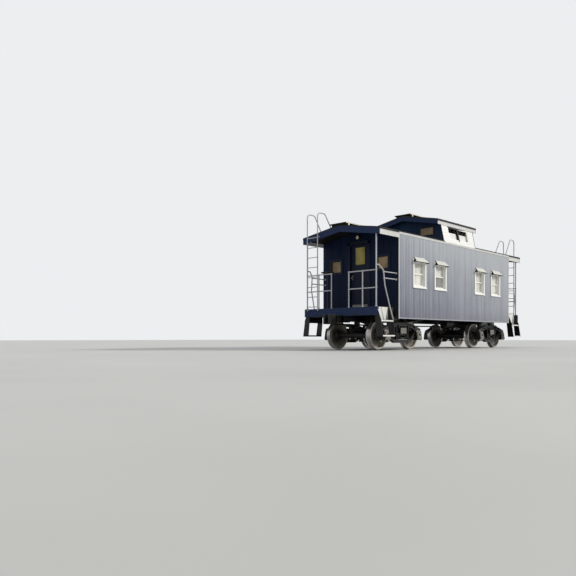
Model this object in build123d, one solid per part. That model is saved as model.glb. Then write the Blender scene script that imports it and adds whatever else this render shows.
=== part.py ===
from build123d import *
import math
import os

os.makedirs("parts", exist_ok=True)

# A wooden-bodied railway caboose. Millimetres. X runs along the car, Y across it, Z up.
# The origin is under the middle of the car, at the bottom of the wheel flanges.
# End a is the -X end. Everything at end b is end a turned half a turn about Z.

# Wheels and trucks
wheel_r = 419.0          # tread radius
flange_h = 28.0          # how far the flange stands below the tread
wheel_back = 685.0       # from the middle of the axle to the inner face of a wheel
wheel_w = 140.0
web_t = 30.0
axle_r = 82.0
journal_r = 66.0
journal_end = 1128.0     # from the middle of the axle to its end
bearing_gap = 0.5        # radial clearance of a journal in its box
wheelbase = 1676.0
truck_x = 2890.0         # truck centre from the middle of the car
frame_y = 1040.0         # middle of a sideframe
frame_t = 120.0
frame_rim = 26.0         # width of the flange round each member of a sideframe
frame_web_t = 34.0
frame_crown_z = 828.0    # top of the arch
frame_shoulder_z = 678.0 # where the arch meets the arms over the journal boxes
frame_arm_z = (508.0, 648.0)
frame_knee_z = 428.0     # where the lower member leaves the journal boxes
frame_belly_z = 218.0
frame_belly_half = 380.0
box_half = 130.0         # half the width of a journal box
box_h = 300.0
box_slope = (95.0, 135.0) # front of a box from the middle of the sideframe, top and foot
lid_t = 14.0
spring_z = (328.0, 498.0) # seat on the sideframe, and underside of the bolster
spring_bay_half = 230.0
spring_half = 205.0      # half the length of an elliptic spring
spring_w = 110.0
spring_gap = 0.3         # between a spring and each of its seats
leaf_t = 9.0
leaf_shares = (1.0, 0.78, 0.56, 0.36)
band_t = 6.0             # band round the middle of a spring
guide_gap = 6.0          # between the bolster and each column
bolster_half = 150.0     # half the width of a truck bolster
bolster_z = (408.0, 668.0)
centre_plate_r = 160.0
plate_gap = 0.3          # between the centre plates of truck and body
shoe_gap = 12.0          # between a brake shoe and the tread
plank_z = (258.0, 283.0)

# Body
body_len = 7196.0
body_w = 2880.0
wall_t = 95.0
skirt_z = 928.0          # lower edge of the side sheathing
floor_z = 1248.0
floor_t = 60.0
eave_z = 3436.0
roof_rise = 232.0
roof_t = 60.0
roof_over = 943.0        # overhang of the roof past each end wall
fascia_t = 12.0
fascia_h = 172.0
end_fascia_t = 20.0
end_fascia_h = 175.0
board_joint = 0.4        # half the joint between two boards
cover_t = 30.0           # roof covering over the deck boards, and its thick edge
cover_drip = 8.0         # how far the covering stands past the fascia

# Side windows
window_w = 620.0
window_h = 770.0
window_z = 1908.0        # lower edge of the opening
window_inner_x = 1300.0
window_outer_x = 2500.0
casing_w = 50.0
casing_t = 22.0
glass_t = 6.0
liner_t = 12.0           # lining of each side of an opening
sash_in = 35.0           # from the face of the wall in to the sash
hood_drop = 165.0
hood_rise = 60.0         # top of a hood above the casing
hood_out = 130.0
hood_taper = 92.0        # how far each end of a hood leans in on the way up
hood_lip = 20.0          # upright front edge
hood_t = 10.0
blind_t = 4.0
blind_gap = 6.0          # between a blind and the wall
blind_box = 32.0         # depth and height of the box over a blind
blind_lap = 20.0         # overlap of a blind on the wall round its opening
blind_drops = (1.0, 0.5, 1.0, 1.0) # share of each side window that its blind covers
panel_share = 0.58       # share of a cupola side window that its inner board covers
panel_t = 12.0

# End doors and windows
door_w = 664.0
door_h = 1960.0
door_t = 44.0
door_gap = 8.0           # all round the leaf
door_glass_w = 380.0
door_glass_h = 530.0
door_glass_z = 2608.0
hinge_r = 12.0
hinge_gap = 0.3
knob_r = 24.0
end_window_in = 550.0     # middle of each end window from the side of the body
end_window_w = 420.0
end_window_h = 390.0
end_window_z = 2398.0
lamp_r = 80.0
lamp_rise = 220.0        # middle of the lamp above the door

# Cupola
cupola_len = 2060.0
cupola_lean = 150.0      # how far each side leans in from the eave to the cupola roof
cupola_t = 60.0
cupola_eave_z = 4146.0
cupola_rise = 262.0
cupola_roof_len = 2520.0
cupola_roof_in = 132.0    # edge of the cupola roof in from the side of the body
cupola_fascia_h = 143.0
cupola_window_w = 1320.0
cupola_window_h = 450.0
cupola_window_z = 3550.0
cupola_end_window_in = 670.0
cupola_end_window_w = 560.0
cupola_end_window_h = 310.0
cupola_end_window_z = 3690.0

# Underframe
sill_h = 260.0
side_sill_t = 110.0
centre_sill_w = 400.0
centre_sill_h = 330.0
sill_flange_t = 22.0
sill_web_in = 90.0       # from the edge of the centre sill in to each web
bolster_l = 420.0
centre_plate_z = 688.0   # lower face of the body centre plate
end_sill_t = 80.0
end_sill_in = 60.0       # end of the end sill in from the side of the body
end_sill_h = 240.0
coupler_z = 904.0
shank_l = 230.0          # from the end sill to the back of the coupler's head
draft_depth = 450.0      # from the end sill's face in to the draft gear
head_h = 280.0
head_outline = (         # out from the back of the coupler's head, and across
    (-20, -110),
    (-20, 130),
    (90, 165),
    (290, 165),
    (290, 95),
    (120, 60),
    (110, -60),
    (290, -20),
    (290, -150),
    (120, -175),
)
tank_z = 880.0           # middle of the brake cylinder and of the air reservoir
cylinder_x = 650.0
cylinder_y = -560.0
cylinder_r = 150.0
cylinder_half = 240.0
reservoir_x = -500.0
reservoir_y = 560.0
reservoir_r = 170.0
reservoir_half = 420.0

# Platforms, steps and ironwork
platform_in = 190.0      # edge of the platform in from the side of the body
step_l = 614.0
step_fall = 205.0        # from the platform's edge out to the rear of the step plates
step_plate_t = 12.0
step_foot_z = 408.0
tread_t = 34.0
tread_low_z = 428.0
tread_high_z = 850.0
post_r = 21.0
post_in = 130.0          # corner post in from the side of the body
rail_r = 17.0
rail_z = 2278.0
mid_rail_z = 1780.0
gate_y = 330.0
rail_post_y = 830.0      # middle post of each end railing
sweep_out = 270.0        # from the corner post to the handrail's upright stretch
brake_wheel_r = 190.0
brake_staff_in = 60.0    # from the end sill in to the brake staff
brake_staff_y = 560.0
ladder_in = 470.0        # middle of the ladder in from the side of the body
ladder_w = 420.0
ladder_out = 100.0       # ladder stiles past the roof's end board
rung_pitch = 300.0
loop_z = 4160.0
board_w = 200.0
board_t = 30.0
board_slot = 15.0
board_lift = 10.0        # from the covered ridge to the underside of the boards

# Sizes that follow from the ones above
half_len = body_len / 2
half_w = body_w / 2
hood_w = window_w + 2 * casing_w
inner_y = half_w - wall_t
end_window_y = half_w - end_window_in
cupola_end_window_y = half_w - cupola_end_window_in
cupola_roof_w = body_w - 2 * cupola_roof_in
end_sill_w = body_w - 2 * end_sill_in
platform_w = body_w - 2 * platform_in
post_y = half_w - post_in
ladder_y = half_w - ladder_in
inner_x = half_len - wall_t
roof_end = half_len + roof_over
deck_end = roof_end - end_fascia_t
deck_bottom = floor_z - floor_t
axle_z = wheel_r + flange_h
half_base = wheelbase / 2
cupola_x = cupola_len / 2
end_sill_x = roof_end - end_sill_t + 10
step_x = end_sill_x - 1
cupola_base_z = eave_z - roof_t
post_x = deck_end - post_r - 1
shoe_y = (wheel_back + 42, wheel_back + wheel_w - 20)
cupola_slope = cupola_lean / (cupola_eave_z - cupola_fascia_h / 2 - cupola_base_z)


def block(x, y, z):
    """A box from pairs of low and high values."""
    size = Box(x[1] - x[0], y[1] - y[0], z[1] - z[0])
    return Pos((x[0] + x[1]) / 2, (y[0] + y[1]) / 2, (z[0] + z[1]) / 2) * size


def prism_x(points, x):
    """An outline of (y, z) points drawn out along X."""
    face = Plane.YZ.offset(x[0]) * make_face(Polyline(*points, close=True))
    return extrude(face, amount=x[1] - x[0], dir=(1, 0, 0))


def prism_y(points, y):
    """An outline of (x, z) points drawn out along Y."""
    face = Plane.XZ.offset(-y[0]) * make_face(Polyline(*points, close=True))
    return extrude(face, amount=y[1] - y[0], dir=(0, 1, 0))


def rod(start, end, radius):
    """A round bar from one point to another."""
    run = Vector(*end) - Vector(*start)
    middle = (Vector(*end) + Vector(*start)) / 2
    return Plane(origin=middle, z_dir=run) * Cylinder(radius, run.length)


def pipe(points, radius, bend):
    """A bent round bar: straight runs with a round elbow at each corner."""
    corners = [Vector(*point) for point in points]
    start = corners[0]
    bar = None
    for before, corner, after in zip(corners, corners[1:], corners[2:]):
        u = (corner - before).normalized()
        v = (after - corner).normalized()
        angle = u.get_angle(v)
        setback = bend * math.tan(math.radians(angle) / 2)
        tangent = corner - u * setback
        side = (v - u * u.dot(v)).normalized()
        section = Plane(origin=tangent, z_dir=u) * Circle(radius)
        elbow = revolve(section, axis=Axis(tangent + side * bend, u.cross(v)), revolution_arc=angle)
        run = rod(tuple(start), tuple(tangent), radius)
        bar = run + elbow if bar is None else bar + run + elbow
        start = corner + v * setback
    return bar + rod(tuple(start), points[-1], radius)


def turn(shape):
    """The same piece at end b."""
    return Rot(0, 0, 180) * shape


def across(shape):
    """The same piece on the other side of the car."""
    return mirror(shape, about=Plane.XZ)


def both_ends(shapes):
    """Pieces at end a, and again at end b."""
    return list(shapes) + [turn(shape) for shape in shapes]


def solids_of(shape):
    return list(shape.solids())


def save(node, shapes):
    """Write one node from its solids."""
    solids = [solid for shape in shapes for solid in solids_of(shape)]
    part = solids[0] if len(solids) == 1 else Compound(children=solids)
    part.label = node
    export_step(part, "parts/" + node + ".step")


def roof_top(y):
    """Height of the main roof's upper face."""
    return eave_z + roof_rise * (1 - abs(y) / half_w)


def roof_under(y):
    return roof_top(y) - roof_t


def cover_top(y):
    """Height of the covering's upper face on the main roof."""
    return roof_top(y) + cover_t


def cupola_top(y):
    """Height of the cupola roof's upper face."""
    return cupola_eave_z + cupola_rise * (1 - 2 * abs(y) / cupola_roof_w)


def cupola_under(y):
    return cupola_top(y) - roof_t


def cupola_cover_top(y):
    return cupola_top(y) + cover_t


def cupola_side_y(z):
    """Outer face of the cupola's leaning side at a height."""
    return half_w - cupola_slope * (z - cupola_base_z)


# Body panels

def side_opening_rows():
    """Middle of each side window along X."""
    return (-window_outer_x, -window_inner_x, window_inner_x, window_outer_x)


def side_wall():
    outline = [
        (-half_w, skirt_z),
        (-half_w, roof_under(half_w)),
        (-inner_y, roof_under(inner_y)),
        (-inner_y, skirt_z),
    ]
    wall = prism_x(outline, (-half_len, half_len))
    for x in side_opening_rows():
        wall -= block(
            (x - window_w / 2, x + window_w / 2),
            (-half_w - 1, -inner_y + 1),
            (window_z, window_z + window_h),
        )
    return wall


def door_opening():
    """Low and high values of the doorway across and up."""
    return (-door_w / 2 - door_gap, door_w / 2 + door_gap), (floor_z, floor_z + door_h + 2 * door_gap)


def end_wall():
    outline = [
        (-inner_y, deck_bottom),
        (-inner_y, roof_under(inner_y)),
        (0, roof_under(0)),
        (inner_y, roof_under(inner_y)),
        (inner_y, deck_bottom),
    ]
    span = (-half_len, -inner_x)
    wall = prism_x(outline, span)
    through = (span[0] - 1, span[1] + 1)
    door_y, door_z = door_opening()
    wall -= block(through, door_y, door_z)
    for side in (-1, 1):
        y = side * end_window_y
        wall -= block(
            through,
            (y - end_window_w / 2, y + end_window_w / 2),
            (end_window_z, end_window_z + end_window_h),
        )
    return wall


def ridged(edge, top, lift, thick):
    """Outline of a layer of even thickness that runs over a ridge."""
    low = [(side * edge, top(edge) + lift) for side in (-1, 1)]
    high = [(y, z + thick) for y, z in low]
    return [low[0], high[0], (0, top(0) + lift + thick), high[1], low[1], (0, top(0) + lift)]


def roof_half():
    """Deck boards from the cupola to the end, and the covering that laps the fascia."""
    deck = prism_x(ridged(half_w, roof_top, -roof_t, roof_t), (-deck_end, -cupola_x))
    lap = half_w + fascia_t + cover_drip
    return deck + prism_x(ridged(lap, roof_top, 0, cover_t), (-roof_end - cover_drip, -cupola_x))


def eave_board(edge, top, height):
    """An upright board along an eave, under the roof's covering."""
    return [
        (-edge, top(edge)),
        (-edge - fascia_t, top(edge + fascia_t)),
        (-edge - fascia_t, top(edge) - height),
        (-edge, top(edge) - height),
    ]


def side_fascia():
    return prism_x(eave_board(half_w, roof_top, fascia_h), (-deck_end, deck_end))


def gable_boards(edge, top, height, x):
    """Two sloping boards under a ridge, with a hairline joint between them."""
    boards = []
    for side in (-1, 1):
        outline = [
            (side * edge, top(edge)),
            (side * board_joint, top(board_joint)),
            (side * board_joint, top(board_joint) - height),
            (side * edge, top(edge) - height),
        ]
        boards.append(prism_x(outline, x))
    return boards


def end_fascia():
    return gable_boards(half_w + fascia_t, roof_top, end_fascia_h, (-roof_end, -deck_end))


def cupola_inner(under):
    """Where the inner face of the cupola's side meets the lower face of a roof, as (y, z)."""
    inset = cupola_t * math.hypot(1, cupola_slope)
    z = cupola_base_z
    for _ in range(12):
        z = under(cupola_side_y(z) - inset)
    return cupola_side_y(z) - inset, z


def cupola_side():
    high = cupola_under(cupola_side_y(cupola_eave_z))
    top_y = cupola_side_y(high)
    outer = [(half_w, cupola_base_z), (top_y, cupola_under(top_y))]
    inner = [cupola_inner(cupola_under), cupola_inner(roof_under)]
    wall = prism_x([(-y, z) for y, z in outer + inner], (-cupola_x, cupola_x))
    wall -= block(
        (-cupola_window_w / 2, cupola_window_w / 2),
        (-half_w - 1, -half_w / 2),
        (cupola_window_z, cupola_window_z + cupola_window_h),
    )
    return wall


def cupola_end():
    right = [
        (inner_y, cupola_base_z - 90),
        (inner_y, roof_under(inner_y)),
        cupola_inner(roof_under),
        cupola_inner(cupola_under),
    ]
    left = [(-y, z) for y, z in reversed(right)]
    wall = prism_x(right + [(0, cupola_under(0))] + left, (-cupola_x, -cupola_x + cupola_t))
    for side in (-1, 1):
        y = side * cupola_end_window_y
        wall -= block(
            (-cupola_x - 1, -cupola_x + cupola_t + 1),
            (y - cupola_end_window_w / 2, y + cupola_end_window_w / 2),
            (cupola_end_window_z, cupola_end_window_z + cupola_end_window_h),
        )
    return wall


def cupola_roof():
    edge = cupola_roof_w / 2
    end = cupola_roof_len / 2
    deck = prism_x(ridged(edge, cupola_top, -roof_t, roof_t), (end_fascia_t - end, end - end_fascia_t))
    cover = ridged(edge + fascia_t + cover_drip, cupola_top, 0, cover_t)
    return deck + prism_x(cover, (-end - cover_drip, end + cover_drip))


def cupola_side_fascia():
    end = cupola_roof_len / 2 - end_fascia_t
    return prism_x(eave_board(cupola_roof_w / 2, cupola_top, cupola_fascia_h), (-end, end))


def cupola_end_fascia():
    edge = cupola_roof_w / 2 + fascia_t
    end = cupola_roof_len / 2
    return gable_boards(edge, cupola_top, cupola_fascia_h, (-end, -end + end_fascia_t))


# Windows

def ring(width, height, rim, depth):
    """An upright frame in the plane of the wall, its outer size width by height."""
    return Box(width, depth, height) - Box(width - 2 * rim, depth + 2, height - 2 * rim)


def side_casing(x):
    """Casing on the wall, the lining of the opening, and a deep-set sash with its meeting rail."""
    middle = window_z + window_h / 2
    reach = sash_in + casing_w
    bare_w = window_w - 2 * liner_t
    bare_h = window_h - 2 * liner_t
    casing = ring(window_w + 2 * casing_w, window_h + 2 * casing_w, casing_w + liner_t, casing_t)
    lining = ring(window_w, window_h, liner_t, reach)
    sash = ring(bare_w, bare_h, casing_w - liner_t, casing_w)
    sash += Box(bare_w, casing_w / 2, casing_w * 0.7)
    piece = Pos(x, -half_w - casing_t / 2, middle) * casing
    piece += Pos(x, -half_w + reach / 2, middle) * lining
    return piece + Pos(x, -half_w + sash_in + casing_w / 2, middle) * sash


def side_pane(x):
    """Two panes, above and below the meeting rail, face to face with the sash."""
    middle = window_z + window_h / 2
    width = window_w - 2 * casing_w
    height = window_h / 2 - casing_w - casing_w * 0.35
    panes = []
    for side in (-1, 1):
        z = middle + side * (casing_w * 0.35 + height / 2)
        panes.append(Pos(x, -half_w + sash_in + casing_w / 2, z) * Box(width, glass_t, height))
    return panes


def hood_shape(x, drop, out, lip, wide, narrow):
    """A sloping solid on the wall whose ends lean in on the way up."""
    top = window_z + window_h + casing_w + hood_rise
    low = top - hood_drop
    section = [(-half_w, top - drop), (-half_w, low), (-half_w - out, low), (-half_w - out, low + lip)]
    front = [(x - wide, low), (x - narrow, top), (x + narrow, top), (x + wide, low)]
    return prism_x(section, (x - wide, x + wide)) & prism_y(front, (-half_w - out, -half_w))


def hood(x):
    """A sheet metal hood over a window, fitted round the head of its casing."""
    wide = hood_w / 2
    fall = (hood_drop - hood_lip) / hood_out
    sheet = hood_t * math.hypot(1, fall)
    end_t = hood_t * math.hypot(1, hood_taper / hood_drop)
    lip = hood_lip + fall * hood_t - sheet
    piece = hood_shape(x, 0, hood_out, hood_lip, wide, wide - hood_taper)
    piece -= hood_shape(x, sheet, hood_out - hood_t, lip, wide - end_t, wide - hood_taper - end_t)
    casing = (window_z, window_z + window_h + casing_w)
    return piece - block((x - wide - 1, x + wide + 1), (-half_w - casing_t, -half_w + 1), casing)


def blind(x, drop):
    """A flat blind behind a side window, and the box it hangs from."""
    half = window_w / 2 + blind_lap
    top = window_z + window_h
    box = block((x - half, x + half), (-inner_y, -inner_y + blind_box), (top, top + blind_box))
    face = (-inner_y + blind_gap, -inner_y + blind_gap + blind_t)
    return box + block((x - half + 5, x + half - 5), face, (top - drop * (window_h + blind_lap), top))


def cupola_panel(side):
    """A board on the inner face, over the lower part of one half of a cupola side window."""
    span = sorted((side * casing_w * 0.8, side * (cupola_window_w / 2 + blind_lap)))
    top = cupola_window_z + panel_share * cupola_window_h
    return leaning((cupola_t, cupola_t + panel_t), span, (cupola_window_z - blind_lap, top))


def end_casing(y):
    middle = end_window_z + end_window_h / 2
    outer = Box(casing_t, end_window_w + 2 * casing_w, end_window_h + 2 * casing_w)
    outer -= Box(casing_t + 2, end_window_w - casing_w, end_window_h - casing_w)
    sash = Box(casing_w, end_window_w, end_window_h)
    sash -= Box(casing_w + 2, end_window_w - casing_w, end_window_h - casing_w)
    ring = Pos(-half_len - casing_t / 2, y, middle) * outer
    return ring + Pos(-half_len + casing_w / 2, y, middle) * sash


def end_pane(y):
    middle = end_window_z + end_window_h / 2
    pane = Box(glass_t, end_window_w - casing_w, end_window_h - casing_w)
    return Pos(-half_len + casing_w / 2, y, middle) * pane


def leaning(points_out, x, z):
    """A slab parallel to the cupola's side, between two depths behind its outer face."""
    scale = math.hypot(1, cupola_slope)
    outline = [
        (-cupola_side_y(z[0]) + points_out[0] * scale, z[0]),
        (-cupola_side_y(z[1]) + points_out[0] * scale, z[1]),
        (-cupola_side_y(z[1]) + points_out[1] * scale, z[1]),
        (-cupola_side_y(z[0]) + points_out[1] * scale, z[0]),
    ]
    return prism_x(outline, x)


def cupola_sash():
    """Frame of a cupola side window with its middle bar."""
    half = cupola_window_w / 2
    rim = casing_w
    top = cupola_window_z + cupola_window_h
    frame = leaning((5, 50), (-half, half), (cupola_window_z, top))
    for low, high in ((-half + rim, -rim * 0.8), (rim * 0.8, half - rim)):
        frame -= leaning((0, 60), (low, high), (cupola_window_z + rim, top - rim))
    return frame


def cupola_pane(side):
    rim = casing_w
    half = cupola_window_w / 2
    span = sorted((side * rim * 0.8, side * (half - rim)))
    top = cupola_window_z + cupola_window_h
    return leaning((24, 24 + glass_t), span, (cupola_window_z + rim, top - rim))


def cupola_end_sash(y):
    middle = cupola_end_window_z + cupola_end_window_h / 2
    rim = casing_w * 0.8
    sash = Box(45, cupola_end_window_w, cupola_end_window_h)
    sash -= Box(47, cupola_end_window_w - 2 * rim, cupola_end_window_h - 2 * rim)
    return Pos(-cupola_x + 28, y, middle) * sash


def cupola_end_pane(y):
    middle = cupola_end_window_z + cupola_end_window_h / 2
    rim = casing_w * 0.8
    pane = Box(glass_t, cupola_end_window_w - 2 * rim, cupola_end_window_h - 2 * rim)
    return Pos(-cupola_x + 28, y, middle) * pane


# Doors

def hinge_heights():
    return [floor_z + door_gap + door_h * share for share in (0.12, 0.5, 0.88)]


def hinge_axis():
    """Where the hinge line of end a stands, on the inner face of the wall."""
    return -inner_x + hinge_r, -door_w / 2 - door_gap / 2


def door_leaf():
    outer_x = -inner_x - door_t
    low = floor_z + door_gap
    leaf = block((outer_x, -inner_x), (-door_w / 2, door_w / 2), (low, low + door_h))
    leaf -= block(
        (outer_x - 1, -inner_x + 1),
        (-door_glass_w / 2, door_glass_w / 2),
        (door_glass_z, door_glass_z + door_glass_h),
    )
    for z0, z1 in ((low + 140, low + 620), (low + 720, low + 1180)):
        for y0, y1 in ((-door_w / 2 + 90, -40), (40, door_w / 2 - 90)):
            leaf -= block((outer_x - 1, outer_x + 12), (y0, y1), (z0, z1))
            leaf -= block((-inner_x - 12, -inner_x + 1), (y0, y1), (z0, z1))
    knob_y = door_w / 2 - 55
    knob_z = low + 960
    for radius, reach in ((9, 30), (knob_r, 60)):
        start = 0 if radius < knob_r else 30
        leaf += rod((outer_x - reach, knob_y, knob_z), (outer_x - start, knob_y, knob_z), radius)
        leaf += rod((-inner_x + start, knob_y, knob_z), (-inner_x + reach, knob_y, knob_z), radius)
    pin_x, pin_y = hinge_axis()
    for z in hinge_heights():
        knuckle = Pos(pin_x, pin_y, z) * Cylinder(hinge_r - 0.5, 60)
        strap = block((pin_x - hinge_r, pin_x - hinge_r + 5), (pin_y, pin_y + 60), (z - 30, z + 30))
        leaf += knuckle + strap
        leaf -= Pos(pin_x, pin_y, z) * Cylinder(hinge_r / 2 + hinge_gap, 62)
    return leaf


def door_pane():
    middle_x = -inner_x - door_t / 2
    return block(
        (middle_x - glass_t / 2, middle_x + glass_t / 2),
        (-door_glass_w / 2, door_glass_w / 2),
        (door_glass_z, door_glass_z + door_glass_h),
    )


def door_pins():
    """The wall's half of each hinge: two knuckles with a pin, on a leaf screwed to the wall."""
    pin_x, pin_y = hinge_axis()
    pins = []
    for z in hinge_heights():
        pin = Pos(pin_x, pin_y, z) * Cylinder(hinge_r / 2, 120)
        for side in (-1, 1):
            middle = z + side * 45.3
            pin += Pos(pin_x, pin_y, middle) * Cylinder(hinge_r - 0.5, 30 - 0.6)
            flap = block(
                (pin_x - hinge_r, pin_x - hinge_r + 5),
                (pin_y - 55, pin_y),
                (middle - 14.7, middle + 14.7),
            )
            pin += flap
        pins.append(pin)
    return pins


# Underframe

def centre_sill():
    """Two channels back to back with a plate across their tops."""
    top = deck_bottom
    low = top - centre_sill_h
    half = centre_sill_w / 2
    t = sill_flange_t
    reach = end_sill_x
    sill = block((-reach, reach), (-half, half), (top - t, top))
    for side in (-1, 1):
        web = sorted((side * (half - sill_web_in), side * (half - sill_web_in + t)))
        foot = sorted((side * (half - sill_web_in), side * half))
        sill += block((-reach, reach), web, (low, top))
        sill += block((-reach, reach), foot, (low, low + t))
    return sill


def side_sill():
    edge = (-inner_y, -inner_y + side_sill_t)
    return block((-half_len, half_len), edge, (deck_bottom - sill_h + 20, deck_bottom))


def cross_bearer(x):
    """A tapering beam between the centre sill and a side sill."""
    near = inner_y - side_sill_t
    half = centre_sill_w / 2
    outline = [
        (-near, deck_bottom),
        (-near, deck_bottom - sill_h * 0.6),
        (-half, deck_bottom - centre_sill_h),
        (-half, deck_bottom),
    ]
    return prism_x(outline, (x - 55, x + 55))


def body_bolster():
    """Tapering beam over a truck with its centre plate and side bearings."""
    near = inner_y - side_sill_t
    half = centre_sill_w / 2
    low = deck_bottom - centre_sill_h
    arm = [
        (-near, deck_bottom),
        (-near, deck_bottom - sill_h * 0.7),
        (-half, low - 40),
        (-half, deck_bottom),
    ]
    span = (-truck_x - bolster_l / 2, -truck_x + bolster_l / 2)
    left = prism_x(arm, span)
    saddle = block(span, (-half, half), (low - 60, low))
    plate = Pos(-truck_x, 0, (low - 60 + centre_plate_z) / 2) * Cylinder(
        centre_plate_r, low - 60 - centre_plate_z
    )
    bearing_top = low + 60
    piece = saddle + plate + left + across(left)
    for side in (-1, 1):
        piece += block(
            (-truck_x - 90, -truck_x + 90),
            sorted((side * 580, side * 680)),
            (centre_plate_z + 14, bearing_top),
        )
    return piece


def end_sill():
    sill = block(
        (-end_sill_x - end_sill_t, -end_sill_x),
        (-end_sill_w / 2, end_sill_w / 2),
        (floor_z - end_sill_h, floor_z),
    )
    sill -= block(
        (-end_sill_x - end_sill_t + 20, -end_sill_x + 1),
        (-end_sill_w / 2 - 1, end_sill_w / 2 + 1),
        (floor_z - end_sill_h + 20, deck_bottom - 20),
    )
    return sill


def platform():
    """The deck beyond the end wall on its two outer timbers."""
    span = (-end_sill_x, -half_len)
    piece = block(span, (-platform_w / 2, platform_w / 2), (deck_bottom, floor_z))
    for side in (-1, 1):
        edge = sorted((side * platform_w / 2, side * (platform_w / 2 - 90)))
        piece += block(span, edge, (deck_bottom - 180, deck_bottom))
    return piece


# Steps

def step_unit():
    """Two treads between cut side plates, with a riser below the platform."""
    x0 = -step_x
    x1 = x0 + step_l
    edge = -platform_w / 2
    half_t = tread_t / 2
    cheek = [
        (edge, floor_z),
        (edge, deck_bottom - 320),
        (edge - 45, tread_low_z + 12),
        (edge - 45, step_foot_z),
        (edge - 265, step_foot_z),
        (edge - 265, tread_low_z + 22),
        (edge - step_fall, tread_high_z - 20),
        (edge - step_fall, tread_high_z + 30),
        (edge - 60, floor_z),
    ]
    unit = prism_x(cheek, (x0, x0 + step_plate_t))
    unit += prism_x(cheek, (x1 - step_plate_t, x1))
    for z, near, far in ((tread_low_z, 50, 255), (tread_high_z, 0, 200)):
        unit += block((x0, x1), (edge - far, edge - near), (z - half_t, z + half_t))
    return unit + block((x0, x1), (edge - 14, edge), (tread_high_z, floor_z))


# Ironwork

def corner_post(side):
    y = side * post_y
    top = roof_under(post_y + post_r)
    post = rod((-post_x, y, floor_z), (-post_x, y, top), post_r)
    return post + Pos(-post_x, y, floor_z + 5) * Cylinder(post_r * 2, 10)


def railing_posts(side):
    """Posts beside the gate and in the middle of a railing, up to its top rail."""
    top = rail_z - rail_r
    places = [side * gate_y, side * rail_post_y]
    return [rod((-post_x, y, floor_z), (-post_x, y, top), rail_r) for y in places]


def railing_bars(side):
    """The top rail, and the middle rail in two lengths between the posts."""
    reach = post_y - post_r
    spans = (
        (gate_y - rail_r, reach, rail_z),
        (gate_y + rail_r, rail_post_y - rail_r, mid_rail_z),
        (rail_post_y + rail_r, reach, mid_rail_z),
    )
    return [rod((-post_x, side * near, z), (-post_x, side * far, z), rail_r) for near, far, z in spans]


def ladder_x():
    return -roof_end - ladder_out


def ladder_stiles():
    """Stiles that run up past the roof, bend inboard and come down on it."""
    x = ladder_x()
    foot = floor_z - 60
    land_x = -roof_end + 640
    pad_r = 36
    pieces = []
    for side in (-1, 1):
        y = ladder_y + side * ladder_w / 2
        land_z = cover_top(y - pad_r)
        route = [(x, y, foot), (x, y, loop_z), (x + 330, y, loop_z), (land_x, y, land_z + 12)]
        stile = pipe(route, rail_r, 130)
        stile += rod((x, y, foot + 30), (-end_sill_x - end_sill_t, y, foot + 30), rail_r * 0.8)
        stile += rod((x, y, eave_z), (-roof_end, y, eave_z), rail_r * 0.8)
        stile += Pos(land_x, y, land_z + 15) * Cylinder(pad_r, 30)
        pieces.append(stile)
    return pieces


def ladder_rungs():
    """Rungs between the stiles, evenly spaced up to the eave."""
    x = ladder_x()
    foot = floor_z + 60
    reach = ladder_w / 2 - rail_r
    count = int((eave_z - foot) / rung_pitch) + 1
    heights = [foot + step * rung_pitch for step in range(count)]
    return [rod((x, ladder_y - reach, z), (x, ladder_y + reach, z), rail_r * 0.7) for z in heights]


def sweep_rail(side):
    """The handrail that sweeps from the corner post down to the steps."""
    plate_x = -step_x + step_l - step_plate_t - rail_r
    stand = -post_x + sweep_out
    start = -post_x + post_r
    route = [
        (start, post_y, rail_z + 150),
        (start + 100, post_y, rail_z + 150),
        (stand, post_y + 50, rail_z),
        (stand + 15, post_y + 90, rail_z - 430),
        (-half_len - 440, post_y + 130, floor_z + 20),
        (plate_x, platform_w / 2 + step_fall - 5, skirt_z - 35),
    ]
    return pipe([(x, side * y, z) for x, y, z in route], rail_r, 50)


def guard_bars(side):
    """Two bars over the steps, from the sweeping handrail to the body."""
    y = side * (post_y + 50)
    near = -post_x + sweep_out + 2 * rail_r
    heights = (rail_z - 40, rail_z - 220)
    return [rod((near, y, z), (-half_len, y, z), rail_r * 0.9) for z in heights]


def brake_stand():
    """A spoked wheel on an upright staff with a stepped foot."""
    x = -end_sill_x + brake_staff_in
    y = brake_staff_y
    wheel_z = rail_z + 60
    piece = Pos(x, y, wheel_z) * Torus(brake_wheel_r, 13)
    spokes = 5
    for spoke in range(spokes):
        angle = 2 * math.pi * spoke / spokes
        tip = (x + brake_wheel_r * math.cos(angle), y + brake_wheel_r * math.sin(angle), wheel_z)
        piece += rod((x, y, wheel_z), tip, 8)
    hub = (34, wheel_z - 22, wheel_z + 22)
    staff = (14, floor_z + 20, wheel_z)
    foot = (60, floor_z, floor_z + 24)
    for radius, low, high in (hub, staff, foot):
        piece += rod((x, y, low), (x, y, high), radius)
    return piece


def end_lamp():
    """A round lamp over the door: a base plate and half a globe."""
    z = floor_z + door_h + lamp_rise
    base_t = 30
    centre = Pos(-half_len - base_t, 0, z)
    globe = centre * (Sphere(lamp_r) - Pos(lamp_r, 0, 0) * Box(2 * lamp_r, 2 * lamp_r, 2 * lamp_r))
    return globe + rod((-half_len - base_t, 0, z), (-half_len, 0, z), lamp_r + 15)


def coupler():
    """Head, shank and the follower that seats between the centre sill's webs."""
    x = -end_sill_x - end_sill_t - shank_l
    inner = -end_sill_x - end_sill_t + draft_depth
    shank = block((x, inner), (-65, 65), (-80, 80))
    web_y = centre_sill_w / 2 - sill_web_in
    shank += block((inner - 60, inner), (-web_y, web_y), (-40, 90))
    face = make_face(Polyline(*[(x - out, y) for out, y in head_outline], close=True))
    head = extrude(Plane.XY.offset(-head_h / 2) * face, amount=head_h, dir=(0, 0, 1))
    return Pos(0, 0, coupler_z) * (shank + head)


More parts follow.
